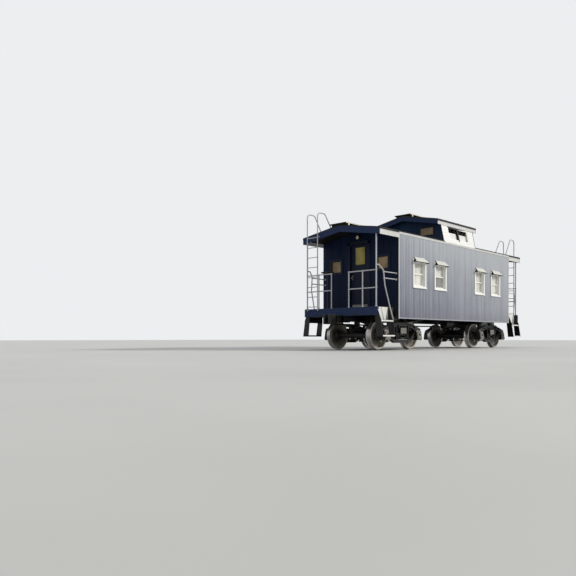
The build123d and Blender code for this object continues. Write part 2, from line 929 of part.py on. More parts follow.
def running_board(x0, x1, ridge, under):
    """Three planks over saddles that sit on a ridged roof."""
    half = board_w * 1.5 + board_slot
    low = ridge + board_lift
    piece = None
    for row in (-1, 0, 1):
        middle = row * (board_w + board_slot)
        plank = block((x0, x1), (middle - board_w / 2, middle + board_w / 2), (low, low + board_t))
        piece = plank if piece is None else piece + plank
    outline = [(-half, low), (-half, under(half)), (0, under(0)), (half, under(half)), (half, low)]
    count = max(2, round((x1 - x0) / 750))
    pitch = (x1 - x0 - 260) / (count - 1)
    for step in range(count):
        x = x0 + 130 + step * pitch
        piece += prism_x(outline, (x - 35, x + 35))
    return piece


def hung_tank(x, y, radius, half, strap_x):
    """A lengthwise cylinder on two brackets under the floor."""
    piece = rod((x - half, y, tank_z), (x + half, y, tank_z), radius)
    for offset in (-strap_x, strap_x):
        bracket = (x + offset - 30, x + offset + 30)
        piece += block(bracket, (y - 90, y + 90), (tank_z + radius * 0.6, deck_bottom))
    return piece


def brake_cylinder():
    """The cylinder with its flanged head and its push rod."""
    piece = hung_tank(cylinder_x, cylinder_y, cylinder_r, cylinder_half, 160)
    start = cylinder_x + cylinder_half
    for radius, near, far in ((cylinder_r + 25, 0, 22), (32, 22, 180)):
        piece += rod((start + near, cylinder_y, tank_z), (start + far, cylinder_y, tank_z), radius)
    return piece


def air_reservoir():
    return hung_tank(reservoir_x, reservoir_y, reservoir_r, reservoir_half, 280)


def train_pipe():
    """The brake pipe under the centre sill; it changes sides in the middle of the car."""
    y = centre_sill_w / 2 + 15
    z = coupler_z - 134
    end = end_sill_x + end_sill_t + 120
    piece = pipe([(-end, y, z), (-600, y, z), (600, -y, z), (end, -y, z)], 21, 200)
    for side in (-1, 1):
        for x in (1500, 4150):
            low = sorted((-side * (y - 35), -side * (y + 5)))
            piece += block((side * x - 20, side * x + 20), low, (z, deck_bottom - centre_sill_h))
    return piece


# Trucks

def wheelset(x):
    """One axle with two wheels, turned about the axle."""
    rim_r = wheel_r - 55
    hub_r = 140
    back = wheel_back
    front = wheel_back + wheel_w
    web = back + 55
    flange = 34
    half = [
        (0, 0),
        (0, axle_r),
        (back - 30, axle_r),
        (back - 30, hub_r),
        (web, hub_r + 20),
        (back + 45, rim_r),
        (back, rim_r),
        (back, wheel_r + flange_h * 0.7),
        (back + 14, wheel_r + flange_h),
        (back + flange, wheel_r + 2),
        (front, wheel_r - 4),
        (front, rim_r),
        (back + 45 + web_t, rim_r),
        (web + web_t, hub_r + 20),
        (front + 15, hub_r),
        (front + 15, axle_r),
        (front + 60, journal_r),
        (journal_end, journal_r),
        (journal_end, 0),
    ]
    face = make_face(Polyline(*[(r, y) for y, r in half], close=True))
    side = revolve(face, axis=Axis.Y)
    whole = side + mirror(side, about=Plane.XZ)
    return Pos(x, 0, axle_z) * whole


def frame_outline():
    """Arched top, arms over the journal boxes and a dished lower member, as (x, z)."""
    shoulder = half_base + 60
    reach = half_base + 150
    knee = half_base - 130
    arch = ThreePointArc((-shoulder, frame_shoulder_z), (0, frame_crown_z), (shoulder, frame_shoulder_z))
    half = [
        (shoulder, frame_shoulder_z),
        (reach, frame_arm_z[1]),
        (reach, frame_arm_z[0]),
        (knee, frame_knee_z),
        (frame_belly_half, frame_belly_z),
    ]
    other = [(-x, z) for x, z in reversed(half)]
    face = make_face(arch + Polyline(*half, *other))
    lower = face.vertices().filter_by(lambda corner: corner.Y < frame_arm_z[0] - 1)
    return fillet(lower, 70)


def frame_windows():
    """The spring bay with the columns that guide the bolster, and a window on each side of it."""
    guide = bolster_half + guide_gap
    top = bolster_z[1] + 50
    bay = [
        (-spring_bay_half, spring_z[0]),
        (-spring_bay_half, spring_z[1] - 28),
        (-guide, spring_z[1] - 8),
        (-guide, top),
    ]
    windows = [make_face(Polyline(*bay, *[(-x, z) for x, z in reversed(bay)], close=True))]
    near = spring_bay_half + 80
    far = half_base - 190
    for hand in (-1, 1):
        corners = [(near, 708), (near, 328), (near + 90, 318), (far, 528), (far, 628)]
        face = make_face(Polyline(*[(hand * x, z) for x, z in corners], close=True))
        windows.append(fillet(face.vertices(), 25))
    return windows


def drawn_across(face, y):
    """An (x, z) face drawn out from one value of y to another."""
    return extrude(Plane.XZ.offset(-y[0]) * face, amount=y[1] - y[0], dir=(0, 1, 0))


def journal_box(x):
    """A closed box with rounded corners, a sloping front and a hinged lid."""
    top_z = axle_z + box_h / 2
    low_z = axle_z - box_h / 2
    back = frame_y - frame_t / 2 - 40
    head = (frame_y + box_slope[0], top_z)
    foot = (frame_y + box_slope[1], low_z + 40)
    side = [(back, low_z), (back, top_z), head, foot, (frame_y + box_slope[1] - 25, low_z)]
    body = prism_x(side, (x - box_half, x + box_half))
    body &= drawn_across(Pos(x, axle_z) * RectangleRounded(2 * box_half, box_h, 30), (back, foot[0]))
    slope = Vector(0, *foot) - Vector(0, *head)
    out = slope.cross(Vector(1, 0, 0)).normalized() * lid_t
    if out.Y < 0:
        out = -out
    upper = Vector(0, *head) + slope * 0.12
    lower = Vector(0, *head) + slope * 0.9
    lid = [upper, lower, lower + out, upper + out]
    body += prism_x([(corner.Y, corner.Z) for corner in lid], (x - 100, x + 100))
    pin = upper + out * 0.4
    return body + rod((x - 45, pin.Y, pin.Z), (x + 45, pin.Y, pin.Z), 13)


def sideframe(side):
    """A cast frame of channel-backed members with its columns and closed journal boxes."""
    face = frame_outline()
    for window in frame_windows():
        face -= window
    span = (frame_y - frame_t / 2, frame_y + frame_t / 2)
    frame = drawn_across(face, span)
    recess_half = half_base - box_half - 20
    recess = offset(face, -frame_rim, kind=Kind.INTERSECTION)
    recess &= Pos(0, frame_shoulder_z) * Rectangle(2 * recess_half, 2 * frame_shoulder_z)
    frame -= drawn_across(recess, (span[0] - 1, frame_y - frame_web_t / 2))
    frame -= drawn_across(recess, (frame_y + frame_web_t / 2, span[1] + 1))
    for x in (-half_base, half_base):
        frame += journal_box(x)
        bore = Cylinder(journal_r + bearing_gap, journal_end + 2)
        frame -= Pos(x, journal_end / 2, axle_z) * Rot(90, 0, 0) * bore
    if side < 0:
        frame = across(frame)
    return Pos(-truck_x, 0, 0) * frame


def truck_bolster():
    """A beam with a deeper middle, the lower centre plate and the side bearings."""
    plate_top = centre_plate_z - plate_gap
    belly, top = bolster_z
    reach = frame_y + frame_t / 2 + 40
    half = [(reach, top), (reach, spring_z[1]), (700, spring_z[1]), (500, belly)]
    outline = half + [(-y, z) for y, z in reversed(half)]
    piece = prism_x(outline, (-bolster_half, bolster_half))
    piece += rod((0, 0, top - 5), (0, 0, plate_top), centre_plate_r + 30)
    for side in (-1, 1):
        piece += block((-80, 80), sorted((side * 590, side * 670)), (top, centre_plate_z - 4))
    return Pos(-truck_x, 0, 0) * piece


def leaf_bow():
    """Upper half of an elliptic spring from its middle height: leaves stacked on a bowed main leaf."""
    half_h = (spring_z[1] - spring_z[0]) / 2 - spring_gap
    rise = half_h - leaf_t * len(leaf_shares) - band_t
    radius = (spring_half ** 2 + rise ** 2) / (2 * rise)
    bow = None
    for row, share in enumerate(leaf_shares):
        inner = radius + row * leaf_t
        leaf = Pos(0, rise - radius) * (Circle(inner + leaf_t) - Circle(inner))
        leaf &= Pos(0, half_h) * Rectangle(2 * spring_half * share, 2 * half_h)
        bow = leaf if bow is None else bow + leaf
    return bow, rise, half_h


def elliptic_spring(y):
    """Two bows joined by round eyes, with a band round each bow."""
    bow, rise, half_h = leaf_bow()
    face = bow + mirror(bow, about=Plane.XZ)
    for x in (-1, 1):
        face += Pos(x * (spring_half - 8), 0) * Circle(12)
    middle = (spring_z[0] + spring_z[1]) / 2
    spring = drawn_across(Pos(0, middle) * face, (y - spring_w / 2, y + spring_w / 2))
    reach = spring_w / 2 + band_t
    for side in (-1, 1):
        span = sorted((middle + side * (rise - band_t), middle + side * half_h))
        spring += block((-45, 45), (y - reach, y + reach), span)
    return Pos(-truck_x, 0, 0) * spring


def truck_springs():
    """One elliptic spring in each sideframe, under the end of the bolster."""
    return [elliptic_spring(side * frame_y) for side in (-1, 1)]


def spring_plank():
    """A flat tie between the sideframes, from web to web."""
    edge = frame_y - frame_web_t / 2
    return block((-truck_x - bolster_half, -truck_x + bolster_half), (-edge, edge), plank_z)


def brake_beam(hand):
    """A beam inside the wheels with a shoe against each tread."""
    x = -truck_x + hand * (half_base - wheel_r - shoe_gap - 80)
    z = axle_z - 40
    middle = (shoe_y[0] + shoe_y[1]) / 2
    piece = rod((x, -middle, z), (x, middle, z), 30)
    bracket_z = z + 170
    for side in (-1, 1):
        hanger = sorted((side * 440, side * 480))
        arm = sorted((-truck_x + hand * bolster_half, x + hand * 14))
        piece += block(arm, hanger, (bracket_z - 16, bracket_z))
        piece += block((x - 14, x + 14), hanger, (z, bracket_z))
        span = sorted((side * shoe_y[0], side * shoe_y[1]))
        shoe = block(sorted((x, x + hand * 130)), span, (z - 170, z + 170))
        wheel = Pos(-truck_x + hand * half_base, side * middle, axle_z) * Rot(90, 0, 0)
        piece += shoe - wheel * Cylinder(wheel_r + shoe_gap, 200)
    return piece


def write_body():
    save("side_wall_left", [side_wall()])
    save("side_wall_right", [across(side_wall())])
    save("end_wall_a", [end_wall()])
    save("end_wall_b", [turn(end_wall())])
    save("main_roof", both_ends([roof_half()]))
    save("cabin_floor", [block((-inner_x, inner_x), (-inner_y, inner_y), (deck_bottom, floor_z))])
    save("cupola_sides", [cupola_side(), across(cupola_side())])
    save("cupola_ends", both_ends([cupola_end()]))
    save("cupola_roof", [cupola_roof()])
    sides = [side_fascia(), cupola_side_fascia()]
    ends = end_fascia() + cupola_end_fascia()
    save("fascia_boards", sides + [across(board) for board in sides] + both_ends(ends))


def end_places(piece, y):
    """A piece of an end window on both hands of both ends."""
    return both_ends([piece(-y), piece(y)])


def write_windows():
    left = [side_casing(x) for x in side_opening_rows()] + [cupola_sash()]
    ends = end_places(end_casing, end_window_y) + end_places(cupola_end_sash, cupola_end_window_y)
    save("window_frames", left + [across(piece) for piece in left] + ends)
    hoods = [hood(x) for x in side_opening_rows()]
    save("window_hoods", hoods + [across(piece) for piece in hoods])
    left = [pane for x in side_opening_rows() for pane in side_pane(x)]
    left += [cupola_pane(-1), cupola_pane(1)]
    ends = end_places(end_pane, end_window_y) + end_places(cupola_end_pane, cupola_end_window_y)
    save("window_glass", left + [across(pane) for pane in left] + ends)
    left = [blind(x, drop) for x, drop in zip(side_opening_rows(), blind_drops)]
    save("window_blinds", left + [across(piece) for piece in left])
    left = [cupola_panel(-1), cupola_panel(1)]
    save("cupola_panels", left + [across(piece) for piece in left])


def write_doors():
    save("door_a", [door_leaf()])
    save("door_b", [turn(door_leaf())])
    save("door_a_glass", [door_pane()])
    save("door_b_glass", [turn(door_pane())])
    save("door_hinges", both_ends(door_pins()))


def write_underframe():
    save("centre_sill", [centre_sill()])
    save("side_sills", [side_sill(), across(side_sill())])
    beams = [cross_bearer(x) for x in (-half_len + 55, -1300, 0, 1300, half_len - 55)]
    save("cross_bearers", beams + [across(beam) for beam in beams])
    save("body_bolsters", both_ends([body_bolster()]))
    save("end_sills", both_ends([end_sill()]))
    save("platforms", both_ends([platform()]))
    save("steps", both_ends([step_unit(), across(step_unit())]))
    save("couplers", both_ends([coupler()]))
    save("brake_cylinder", [brake_cylinder()])
    save("air_reservoir", [air_reservoir()])
    save("train_pipe", [train_pipe()])


def write_ironwork():
    sides = (-1, 1)
    posts = [corner_post(side) for side in sides]
    posts += [post for side in sides for post in railing_posts(side)]
    save("platform_posts", both_ends(posts))
    bars = [bar for side in sides for bar in railing_bars(side) + guard_bars(side)]
    save("railing_bars", both_ends(bars))
    save("step_handrails", both_ends([sweep_rail(side) for side in sides]))
    save("ladder_stiles", both_ends(ladder_stiles()))
    save("ladder_rungs", both_ends(ladder_rungs()))
    save("brake_stands", both_ends([brake_stand()]))
    save("end_lamps", both_ends([end_lamp()]))
    board = running_board(-roof_end - 60, -cupola_x - 1, cover_top(0), cover_top)
    edge = cupola_roof_len / 2
    top = running_board(-edge, edge, cupola_cover_top(0), cupola_cover_top)
    save("running_boards", both_ends([board]) + [top])


def write_trucks():
    names = (("a", lambda shape: shape), ("b", turn))
    for name, place in names:
        save("truck_" + name + "_sideframes", [place(sideframe(-1)), place(sideframe(1))])
        save("truck_" + name + "_bolster", [place(truck_bolster())])
        save("truck_" + name + "_springs", [place(piece) for piece in truck_springs()])
        save("truck_" + name + "_spring_plank", [place(spring_plank())])
        save("truck_" + name + "_brakes", [place(brake_beam(-1)), place(brake_beam(1))])
        save("wheelset_" + name + "1", [place(wheelset(-truck_x - half_base))])
        save("wheelset_" + name + "2", [place(wheelset(-truck_x + half_base))])


write_body()
write_windows()
write_doors()
write_underframe()
write_ironwork()
write_trucks()
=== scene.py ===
import math
import random

import bmesh
import bpy
from mathutils import Matrix, Vector


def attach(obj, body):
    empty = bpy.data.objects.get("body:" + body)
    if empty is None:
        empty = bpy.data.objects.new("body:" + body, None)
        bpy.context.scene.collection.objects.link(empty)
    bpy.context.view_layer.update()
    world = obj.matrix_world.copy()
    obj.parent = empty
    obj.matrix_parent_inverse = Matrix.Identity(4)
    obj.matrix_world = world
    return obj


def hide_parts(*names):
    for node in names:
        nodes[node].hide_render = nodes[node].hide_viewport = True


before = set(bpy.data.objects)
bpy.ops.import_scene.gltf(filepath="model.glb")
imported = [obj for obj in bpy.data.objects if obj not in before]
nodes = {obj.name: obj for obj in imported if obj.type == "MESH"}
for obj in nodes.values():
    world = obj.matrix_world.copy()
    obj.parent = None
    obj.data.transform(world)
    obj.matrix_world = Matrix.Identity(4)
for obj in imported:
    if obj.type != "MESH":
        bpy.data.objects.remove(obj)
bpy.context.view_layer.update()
random.seed(7)

# Sizes of the car, in metres, as the frame has them
HALF_LEN, HALF_W = 3.598, 1.440
WALL = 0.095
INNER_W = HALF_W - WALL
EAVE, RISE, ROOF_T, COVER = 3.436, 0.232, 0.060, 0.030
ROOF_END, DECK_END = 4.541, 4.521
FLOOR = 1.248
SKIRT = 0.928
CUPOLA_X, CUPOLA_EAVE, CUPOLA_RISE = 1.030, 4.146, 0.262
CUPOLA_WALL_TOP = CUPOLA_EAVE - 0.0715
CUPOLA_SLOPE = 0.150 / (CUPOLA_WALL_TOP - (EAVE - ROOF_T))
CUPOLA_ROOF_Y, CUPOLA_ROOF_X = 1.308, 1.260
CUPOLA_FASCIA_X = 1.240
WINDOW_X = (-2.500, -1.300, 1.300, 2.500)
WINDOW_W, WINDOW_H, WINDOW_Z = 0.620, 0.770, 1.908
BLIND_DROPS = (1.0, 0.5, 1.0, 1.0)
TRUCK_X, HALF_BASE, AXLE_Z = 2.890, 0.838, 0.447
BOARD, END_BOARD, CUPOLA_BOARD, DECK_BOARD = 0.0837, 0.0842, 0.110, 0.125
SIDE_BOARDS, END_BOARDS = 86, 32
LAMP_Z = FLOOR + 1.960 + 0.220
POST_X, SILL_X = 4.499, 4.551
BLIND_Y, SPRING_Y = 1.337, 1.040

# Heights that part the cupola's faces from those below: its windows' and its eave boards'
CUPOLA_FOOT, RIDGE_TOP = 3.5, EAVE + RISE + COVER

# How far added pieces sink into what they stand on, and the slack of a face test
HAIR = 0.001

UP = Vector((0, 0, 1))
ENDS = (("a", -1), ("b", 1))
CORNERS = [(end, side) for end in (-1, 1) for side in (-1, 1)]


def rgb(r, g, b):
    """A colour written in sRGB 0 to 255, as linear values."""
    out = []
    for value in (r, g, b):
        value /= 255
        out.append(value / 12.92 if value <= 0.04045 else ((value + 0.055) / 1.055) ** 2.4)
    return (*out, 1.0)


def roof_top(y):
    return EAVE + RISE * (1 - abs(y) / HALF_W)


def cupola_top(y):
    return CUPOLA_EAVE + CUPOLA_RISE * (1 - abs(y) / CUPOLA_ROOF_Y)


def cover_top(y):
    return roof_top(y) + COVER


def cupola_cover_top(y):
    return cupola_top(y) + COVER


class Finish:
    """One material's nodes, with short calls for the ones used here."""

    def __init__(self, name, **sockets):
        self.mat = bpy.data.materials.new(name)
        self.mat.use_nodes = True
        self.tree = self.mat.node_tree
        self.bsdf = self.tree.nodes["Principled BSDF"]
        self.place = self.tree.nodes.new("ShaderNodeTexCoord")
        for key, value in sockets.items():
            self.bsdf.inputs[key.replace("_", " ")].default_value = value

    def node(self, kind, inputs=(), **settings):
        made = self.tree.nodes.new(kind)
        for key, value in settings.items():
            setattr(made, key, value)
        for key, value in dict(inputs).items():
            if isinstance(value, bpy.types.NodeSocket):
                self.tree.links.new(value, made.inputs[key])
            else:
                made.inputs[key].default_value = value
        return made

    def math(self, operation, *values, clamp=False):
        made = self.node("ShaderNodeMath", enumerate(values), operation=operation, use_clamp=clamp)
        return made.outputs[0]

    def positive(self, value):
        return self.math("MAXIMUM", value, 0.0)

    def radius(self, a, b):
        squares = self.math("ADD", self.math("MULTIPLY", a, a), self.math("MULTIPLY", b, b))
        return self.math("SQRT", squares)

    def edge(self, value, low, high):
        return self.math("MAXIMUM", self.ranged(value, low, high), 0.0, clamp=True)

    def coordinate(self, axis):
        if not hasattr(self, "split"):
            self.split = self.node("ShaderNodeSeparateXYZ", {0: self.place.outputs["Object"]})
        return self.split.outputs[axis]

    def facing(self, axis):
        """The surface's own direction along an axis, from -1 to 1."""
        if not hasattr(self, "split_normal"):
            self.split_normal = self.node("ShaderNodeSeparateXYZ", {0: self.place.outputs["Normal"]})
        return self.split_normal.outputs[axis]

    def noise(self, scale, stretch=(1, 1, 1), detail=4.0, roughness=0.55, seed=0.0):
        shift = (seed, seed * 1.7, seed * 0.3)
        moved = self.node(
            "ShaderNodeMapping",
            {"Vector": self.place.outputs["Object"], "Scale": stretch, "Location": shift},
        )
        made = self.node(
            "ShaderNodeTexNoise",
            {"Vector": moved.outputs[0], "Scale": scale, "Detail": detail, "Roughness": roughness},
        )
        return made.outputs[0]

    def voronoi(self, scale):
        made = self.node("ShaderNodeTexVoronoi", {"Vector": self.place.outputs["Object"], "Scale": scale})
        return made.outputs["Distance"]

    def cells(self, axis, pitch, seed=0.0):
        """A random tone for each board or sheet along an axis."""
        index = self.math("FLOOR", self.math("DIVIDE", self.coordinate(axis), pitch))
        made = self.node(
            "ShaderNodeTexWhiteNoise", {"W": self.math("ADD", index, seed + 0.5)}, noise_dimensions="1D"
        )
        return made.outputs[0]

    def ranged(self, value, low, high, out_low=0.0, out_high=1.0):
        made = self.node(
            "ShaderNodeMapRange",
            {"Value": value, "From Min": low, "From Max": high, "To Min": out_low, "To Max": out_high},
        )
        return made.outputs[0]

    def ramp(self, value, stops):
        made = self.node("ShaderNodeValToRGB", {"Fac": value})
        band = made.color_ramp
        while len(band.elements) < len(stops):
            band.elements.new(0.5)
        for element, (at, colour) in zip(band.elements, stops):
            element.position = at
            element.color = colour
        return made.outputs[0]

    def mix(self, factor, a, b):
        made = self.node("ShaderNodeMix", data_type="RGBA")
        for socket, value in ((made.inputs[0], factor), (made.inputs[6], a), (made.inputs[7], b)):
            if isinstance(value, bpy.types.NodeSocket):
                self.tree.links.new(value, socket)
            else:
                socket.default_value = value
        return made.outputs[2]

    def weigh(self, *pairs):
        """The sum of values, each times its weight."""
        total = None
        for value, weight in pairs:
            part = self.math("MULTIPLY", value, weight)
            total = part if total is None else self.math("ADD", total, part)
        return total

    def finish(self, colour, roughness=None, height=None, bump=0.3, depth=0.002):
        links = self.tree.links
        links.new(colour, self.bsdf.inputs["Base Color"])
        if roughness is not None:
            links.new(roughness, self.bsdf.inputs["Roughness"])
        if height is not None:
            made = self.node("ShaderNodeBump", {"Height": height, "Strength": bump, "Distance": depth})
            links.new(made.outputs[0], self.bsdf.inputs["Normal"])
        return self.mat


# Finishes

def board_paint(
    name, deep, faded, axis, pitch, gloss, low=0.93, high=3.4, climb=0.30, along=0.0, shine=0.5, dusty=0.35
):
    """Old paint on boards: a tone for each board, streaks down them, paler towards the top and, by the weight
    along, paler towards the +X end.
    """
    m = Finish(name, Specular_IOR_Level=shine)
    z = m.coordinate(2)
    tone = m.cells(axis, pitch)
    streak = m.noise(5.0, (4.0, 4.0, 0.35), detail=5)
    fine = m.noise(24.0, (6.0, 6.0, 0.5), detail=3, seed=3)
    patch = m.noise(0.9, detail=5, seed=9)
    level = m.ranged(z, low, high)
    # Paler towards the +X end, by the weight along
    rightward = m.ranged(m.coordinate(0), -HALF_LEN, HALF_LEN)
    value = m.weigh(
        (tone, 0.10), (streak, 0.22), (fine, 0.08), (patch, 0.18), (level, climb), (rightward, along)
    )
    colour = m.ramp(value, [(0.25, deep), (0.76, faded)])
    dust = m.math("MULTIPLY", m.ranged(z, low + 0.45, low, 0, dusty), m.noise(7.0, detail=5, seed=5))
    colour = m.mix(m.positive(dust), colour, rgb(112, 104, 92))
    scuff = m.ranged(m.noise(38.0, (1, 1, 0.35), detail=6, roughness=0.7, seed=12), 0.70, 0.78, 0, 0.35)
    colour = m.mix(m.positive(scuff), colour, faded)
    rough = m.ranged(m.weigh((patch, 0.6), (fine, 0.4)), 0.3, 0.7, gloss - 0.10, gloss + 0.12)
    grain = m.noise(60.0, (3.0, 3.0, 0.12), detail=6, seed=2)
    return m.finish(colour, rough, grain, 0.35, 0.002)


def plain_paint(name, colour, grime, gloss=0.45, amount=0.35, rust=None, metallic=0.0, shine=0.5):
    """Painted wood or iron with grime in patches and, on iron, a little rust."""
    m = Finish(name, Metallic=metallic, Specular_IOR_Level=shine)
    patch = m.noise(3.2, detail=7, roughness=0.62, seed=4)
    streak = m.noise(9.0, (3, 3, 0.4), detail=5, seed=8)
    dirt = m.ranged(m.weigh((patch, 0.6), (streak, 0.4)), 0.42, 0.72, 0, amount)
    shade = m.mix(m.positive(dirt), colour, grime)
    if rust:
        spots = m.ranged(m.noise(26.0, detail=8, roughness=0.7, seed=21), 0.62, 0.72, 0, 0.75)
        shade = m.mix(m.positive(spots), shade, rust)
    rough = m.ranged(patch, 0.3, 0.7, gloss - 0.08, gloss + 0.15)
    fine = m.noise(90.0, detail=5, seed=6)
    return m.finish(shade, rough, fine, 0.18, 0.001)


def roofing():
    """Mineral-surfaced sheet: fine grit, dust in patches, washed down the slope."""
    m = Finish("roofing")
    grit = m.noise(260.0, detail=3, roughness=0.8)
    wash = m.noise(2.4, (2.5, 0.5, 0.5), detail=6, seed=5)
    sheet = m.cells(0, 0.915, seed=3)
    value = m.weigh((grit, 0.25), (wash, 0.5), (sheet, 0.18))
    colour = m.ramp(value, [(0.25, rgb(17, 17, 18)), (0.62, rgb(37, 36, 36)), (0.85, rgb(62, 59, 55))])
    rough = m.ranged(grit, 0.3, 0.7, 0.78, 0.97)
    return m.finish(colour, rough, grit, 0.6, 0.002)


def wood(name, light, dark, along, across, pitch, gloss=0.75, shine=0.5):
    """Weathered planks with grain along one axis and a tone for each plank across."""
    m = Finish(name, Specular_IOR_Level=shine)
    stretch = [1.0, 1.0, 1.0]
    stretch[along] = 0.07
    grain = m.noise(42.0, tuple(stretch), detail=8, roughness=0.65)
    broad = m.noise(5.0, tuple(stretch), detail=4, seed=3)
    tone = m.cells(across, pitch, seed=1)
    value = m.weigh((grain, 0.5), (broad, 0.3), (tone, 0.22))
    colour = m.ramp(value, [(0.3, dark), (0.7, light)])
    knots = m.ranged(m.voronoi(3.1), 0.0, 0.10, 0.5, 0)
    colour = m.mix(m.positive(knots), colour, dark)
    rough = m.ranged(grain, 0.3, 0.7, gloss - 0.1, gloss + 0.15)
    return m.finish(colour, rough, grain, 0.7, 0.003)


def iron(name, colour, dust, gloss=0.42, rust=0.5, cast=0.35):
    """Black-painted iron: a cast skin, dust on the faces that look up, rust in spots."""
    m = Finish(name, Specular_IOR_Level=0.30)
    skin = m.noise(70.0, detail=6, roughness=0.7)
    broad = m.noise(4.5, detail=6, seed=5)
    up = m.positive(m.facing(2))
    settled = m.math("MULTIPLY", up, m.ranged(broad, 0.25, 0.7, 0.10, 0.60))
    shade = m.mix(settled, colour, dust)
    spots = m.ranged(m.noise(15.0, detail=9, roughness=0.72, seed=11), 0.60, 0.72, 0, rust)
    shade = m.mix(m.positive(spots), shade, rgb(74, 44, 30))
    rough = m.ranged(m.weigh((skin, 0.4), (broad, 0.6)), 0.3, 0.7, gloss - 0.1, gloss + 0.2)
    return m.finish(shade, rough, skin, cast, 0.002)


def wheel_finish():
    """By the distance from the axle: bright tread and flange edge, dusty plate, oily hub."""
    m = Finish("wheel_steel")
    x = m.coordinate(0)
    z = m.coordinate(2)
    radius = m.radius(x, z)
    broad = m.noise(6.0, detail=7, roughness=0.65)
    fine = m.noise(55.0, detail=5, seed=3)
    out = m.ranged(radius, 0.16, 0.36)
    dust = m.weigh((broad, 0.60), (fine, 0.20), (out, 0.28))
    plate = m.ramp(dust, [(0.34, rgb(40, 37, 34)), (0.50, rgb(92, 86, 78)), (0.74, rgb(158, 151, 140))])
    hub = m.ranged(radius, 0.18, 0.12)
    plate = m.mix(m.positive(hub), plate, rgb(20, 19, 19))
    rim = m.edge(radius, 0.360, 0.366)
    # The pale rim ring is light paint, and also a painted highlight of the sun on the rim's face
    worn_and_highlit = m.ramp(m.weigh((fine, 0.5), (broad, 0.5)), [(0.3, rgb(138, 133, 124)), (0.7, rgb(186, 181, 171))])
    plate = m.mix(rim, plate, worn_and_highlit)
    tread = m.edge(radius, 0.405, 0.412)
    bright = m.ramp(fine, [(0.3, rgb(150, 148, 146)), (0.7, rgb(198, 196, 192))])
    shade = m.mix(tread, plate, bright)
    rough = m.ranged(tread, 0, 1, 0.62, 0.26)
    m.tree.links.new(m.math("MULTIPLY", tread, 0.9), m.bsdf.inputs["Metallic"])
    return m.finish(shade, rough, fine, 0.3, 0.001)


def glass(name, tint, alpha, rough=0.04):
    """A pane with a film of dust that is thicker in places."""
    m = Finish(name, Alpha=alpha, Specular_IOR_Level=0.4)
    film = m.noise(2.6, (1.0, 1.0, 0.6), detail=6, seed=2)
    thin = tuple(0.55 * v for v in tint[:3]) + (1,)
    thick = tuple(min(1, 1.35 * v + 0.01) for v in tint[:3]) + (1,)
    shade = m.ramp(film, [(0.34, thin), (0.50, tint), (0.68, thick)])
    haze = m.ranged(m.noise(11.0, detail=6, seed=7), 0.35, 0.75, rough, rough + 0.12)
    return m.finish(shade, haze)


def lamp_finish():
    """A frosted lens in the middle and a dark guard round it."""
    m = Finish("lamp_glass", Specular_IOR_Level=0.4)
    y = m.coordinate(1)
    z = m.math("SUBTRACT", m.coordinate(2), LAMP_Z)
    radius = m.radius(y, z)
    frost = m.noise(34.0, detail=5)
    lens = m.ramp(frost, [(0.3, rgb(206, 197, 176)), (0.7, rgb(232, 226, 208))])
    guard = m.edge(radius, 0.053, 0.058)
    shade = m.mix(guard, lens, rgb(26, 28, 36))
    return m.finish(shade, m.ranged(frost, 0.3, 0.7, 0.16, 0.30), frost, 0.15, 0.001)


def woven():
    """Plain blind cloth: crossed threads, a little yellowed."""
    m = Finish("blind_cloth", Sheen_Weight=0.15)
    inputs = {"Vector": m.place.outputs["Object"], "Scale": 260.0, "Distortion": 0.6}
    across, down = (m.node("ShaderNodeTexWave", inputs, bands_direction=axis) for axis in "XZ")
    weave = m.math("MAXIMUM", across.outputs["Fac"], down.outputs["Fac"])
    stain = m.noise(2.6, detail=6, seed=4)
    value = m.weigh((weave, 0.25), (stain, 0.75))
    colour = m.ramp(value, [(0.30, rgb(240, 238, 229)), (0.70, rgb(253, 252, 248))])
    return m.finish(colour, m.ranged(stain, 0.3, 0.7, 0.78, 0.92), weave, 0.3, 0.0006)


SIDE = board_paint("side_paint", rgb(90, 96, 116), rgb(170, 174, 180), 0, BOARD, 0.50, climb=0.36, along=0.19)
# The ends' navy is the sides' slate paint as it looks in deep shade: painted shade
END = board_paint("end_paint", rgb(12, 22, 46), rgb(32, 48, 84), 1, END_BOARD, 0.55, climb=0.05, shine=0.1)
# The cupola ends' navy is the colour they show in shade: painted shade
CUPOLA_END = board_paint(
    "cupola_end_paint", rgb(20, 38, 64), rgb(50, 76, 112), 1, END_BOARD, 0.55, 3.4, 4.3, 0.05, shine=0.1
)
CUPOLA_WHITE = board_paint(
    "cupola_side_paint", rgb(234, 234, 232), rgb(252, 252, 250), 2, CUPOLA_BOARD, 0.45,
    3.4, 4.2, 0.1, dusty=0.06,
)
WHITE = plain_paint("trim_paint", rgb(246, 247, 243), rgb(200, 196, 184), 0.42, 0.26)
HOOD = plain_paint("hood_paint", rgb(224, 224, 216), rgb(172, 166, 152), 0.40, 0.40, rgb(126, 92, 66))
FASCIA = plain_paint("fascia_paint", rgb(210, 210, 208), rgb(160, 154, 144), 0.50, 0.45)
SKIRTING = plain_paint("skirt_paint", rgb(158, 162, 172), rgb(118, 114, 108), 0.50, 0.50)
NAVY = plain_paint("navy_paint", rgb(36, 52, 86), rgb(58, 66, 88), 0.50, 0.35, shine=0.12)
DOOR = plain_paint("door_paint", rgb(18, 26, 46), rgb(40, 46, 62), 0.46, 0.35, shine=0.15)
DARK = plain_paint("dark_paint", rgb(18, 18, 22), rgb(36, 34, 36), 0.55, 0.40, shine=0.2)
ROOF = roofing()
# Near-black wood for the roofs' undersides: painted shade, a ceiling as it looks in shadow
PORCH_SHADE = wood("porch_ceiling", rgb(30, 26, 29), rgb(13, 11, 13), 0, 1, 0.09, 0.7, shine=0.15)
DECK = wood("deck_wood", rgb(118, 108, 96), rgb(66, 58, 50), 1, 0, 0.130)
WALKS = wood("board_wood", rgb(172, 164, 150), rgb(96, 88, 78), 0, 1, 0.215)
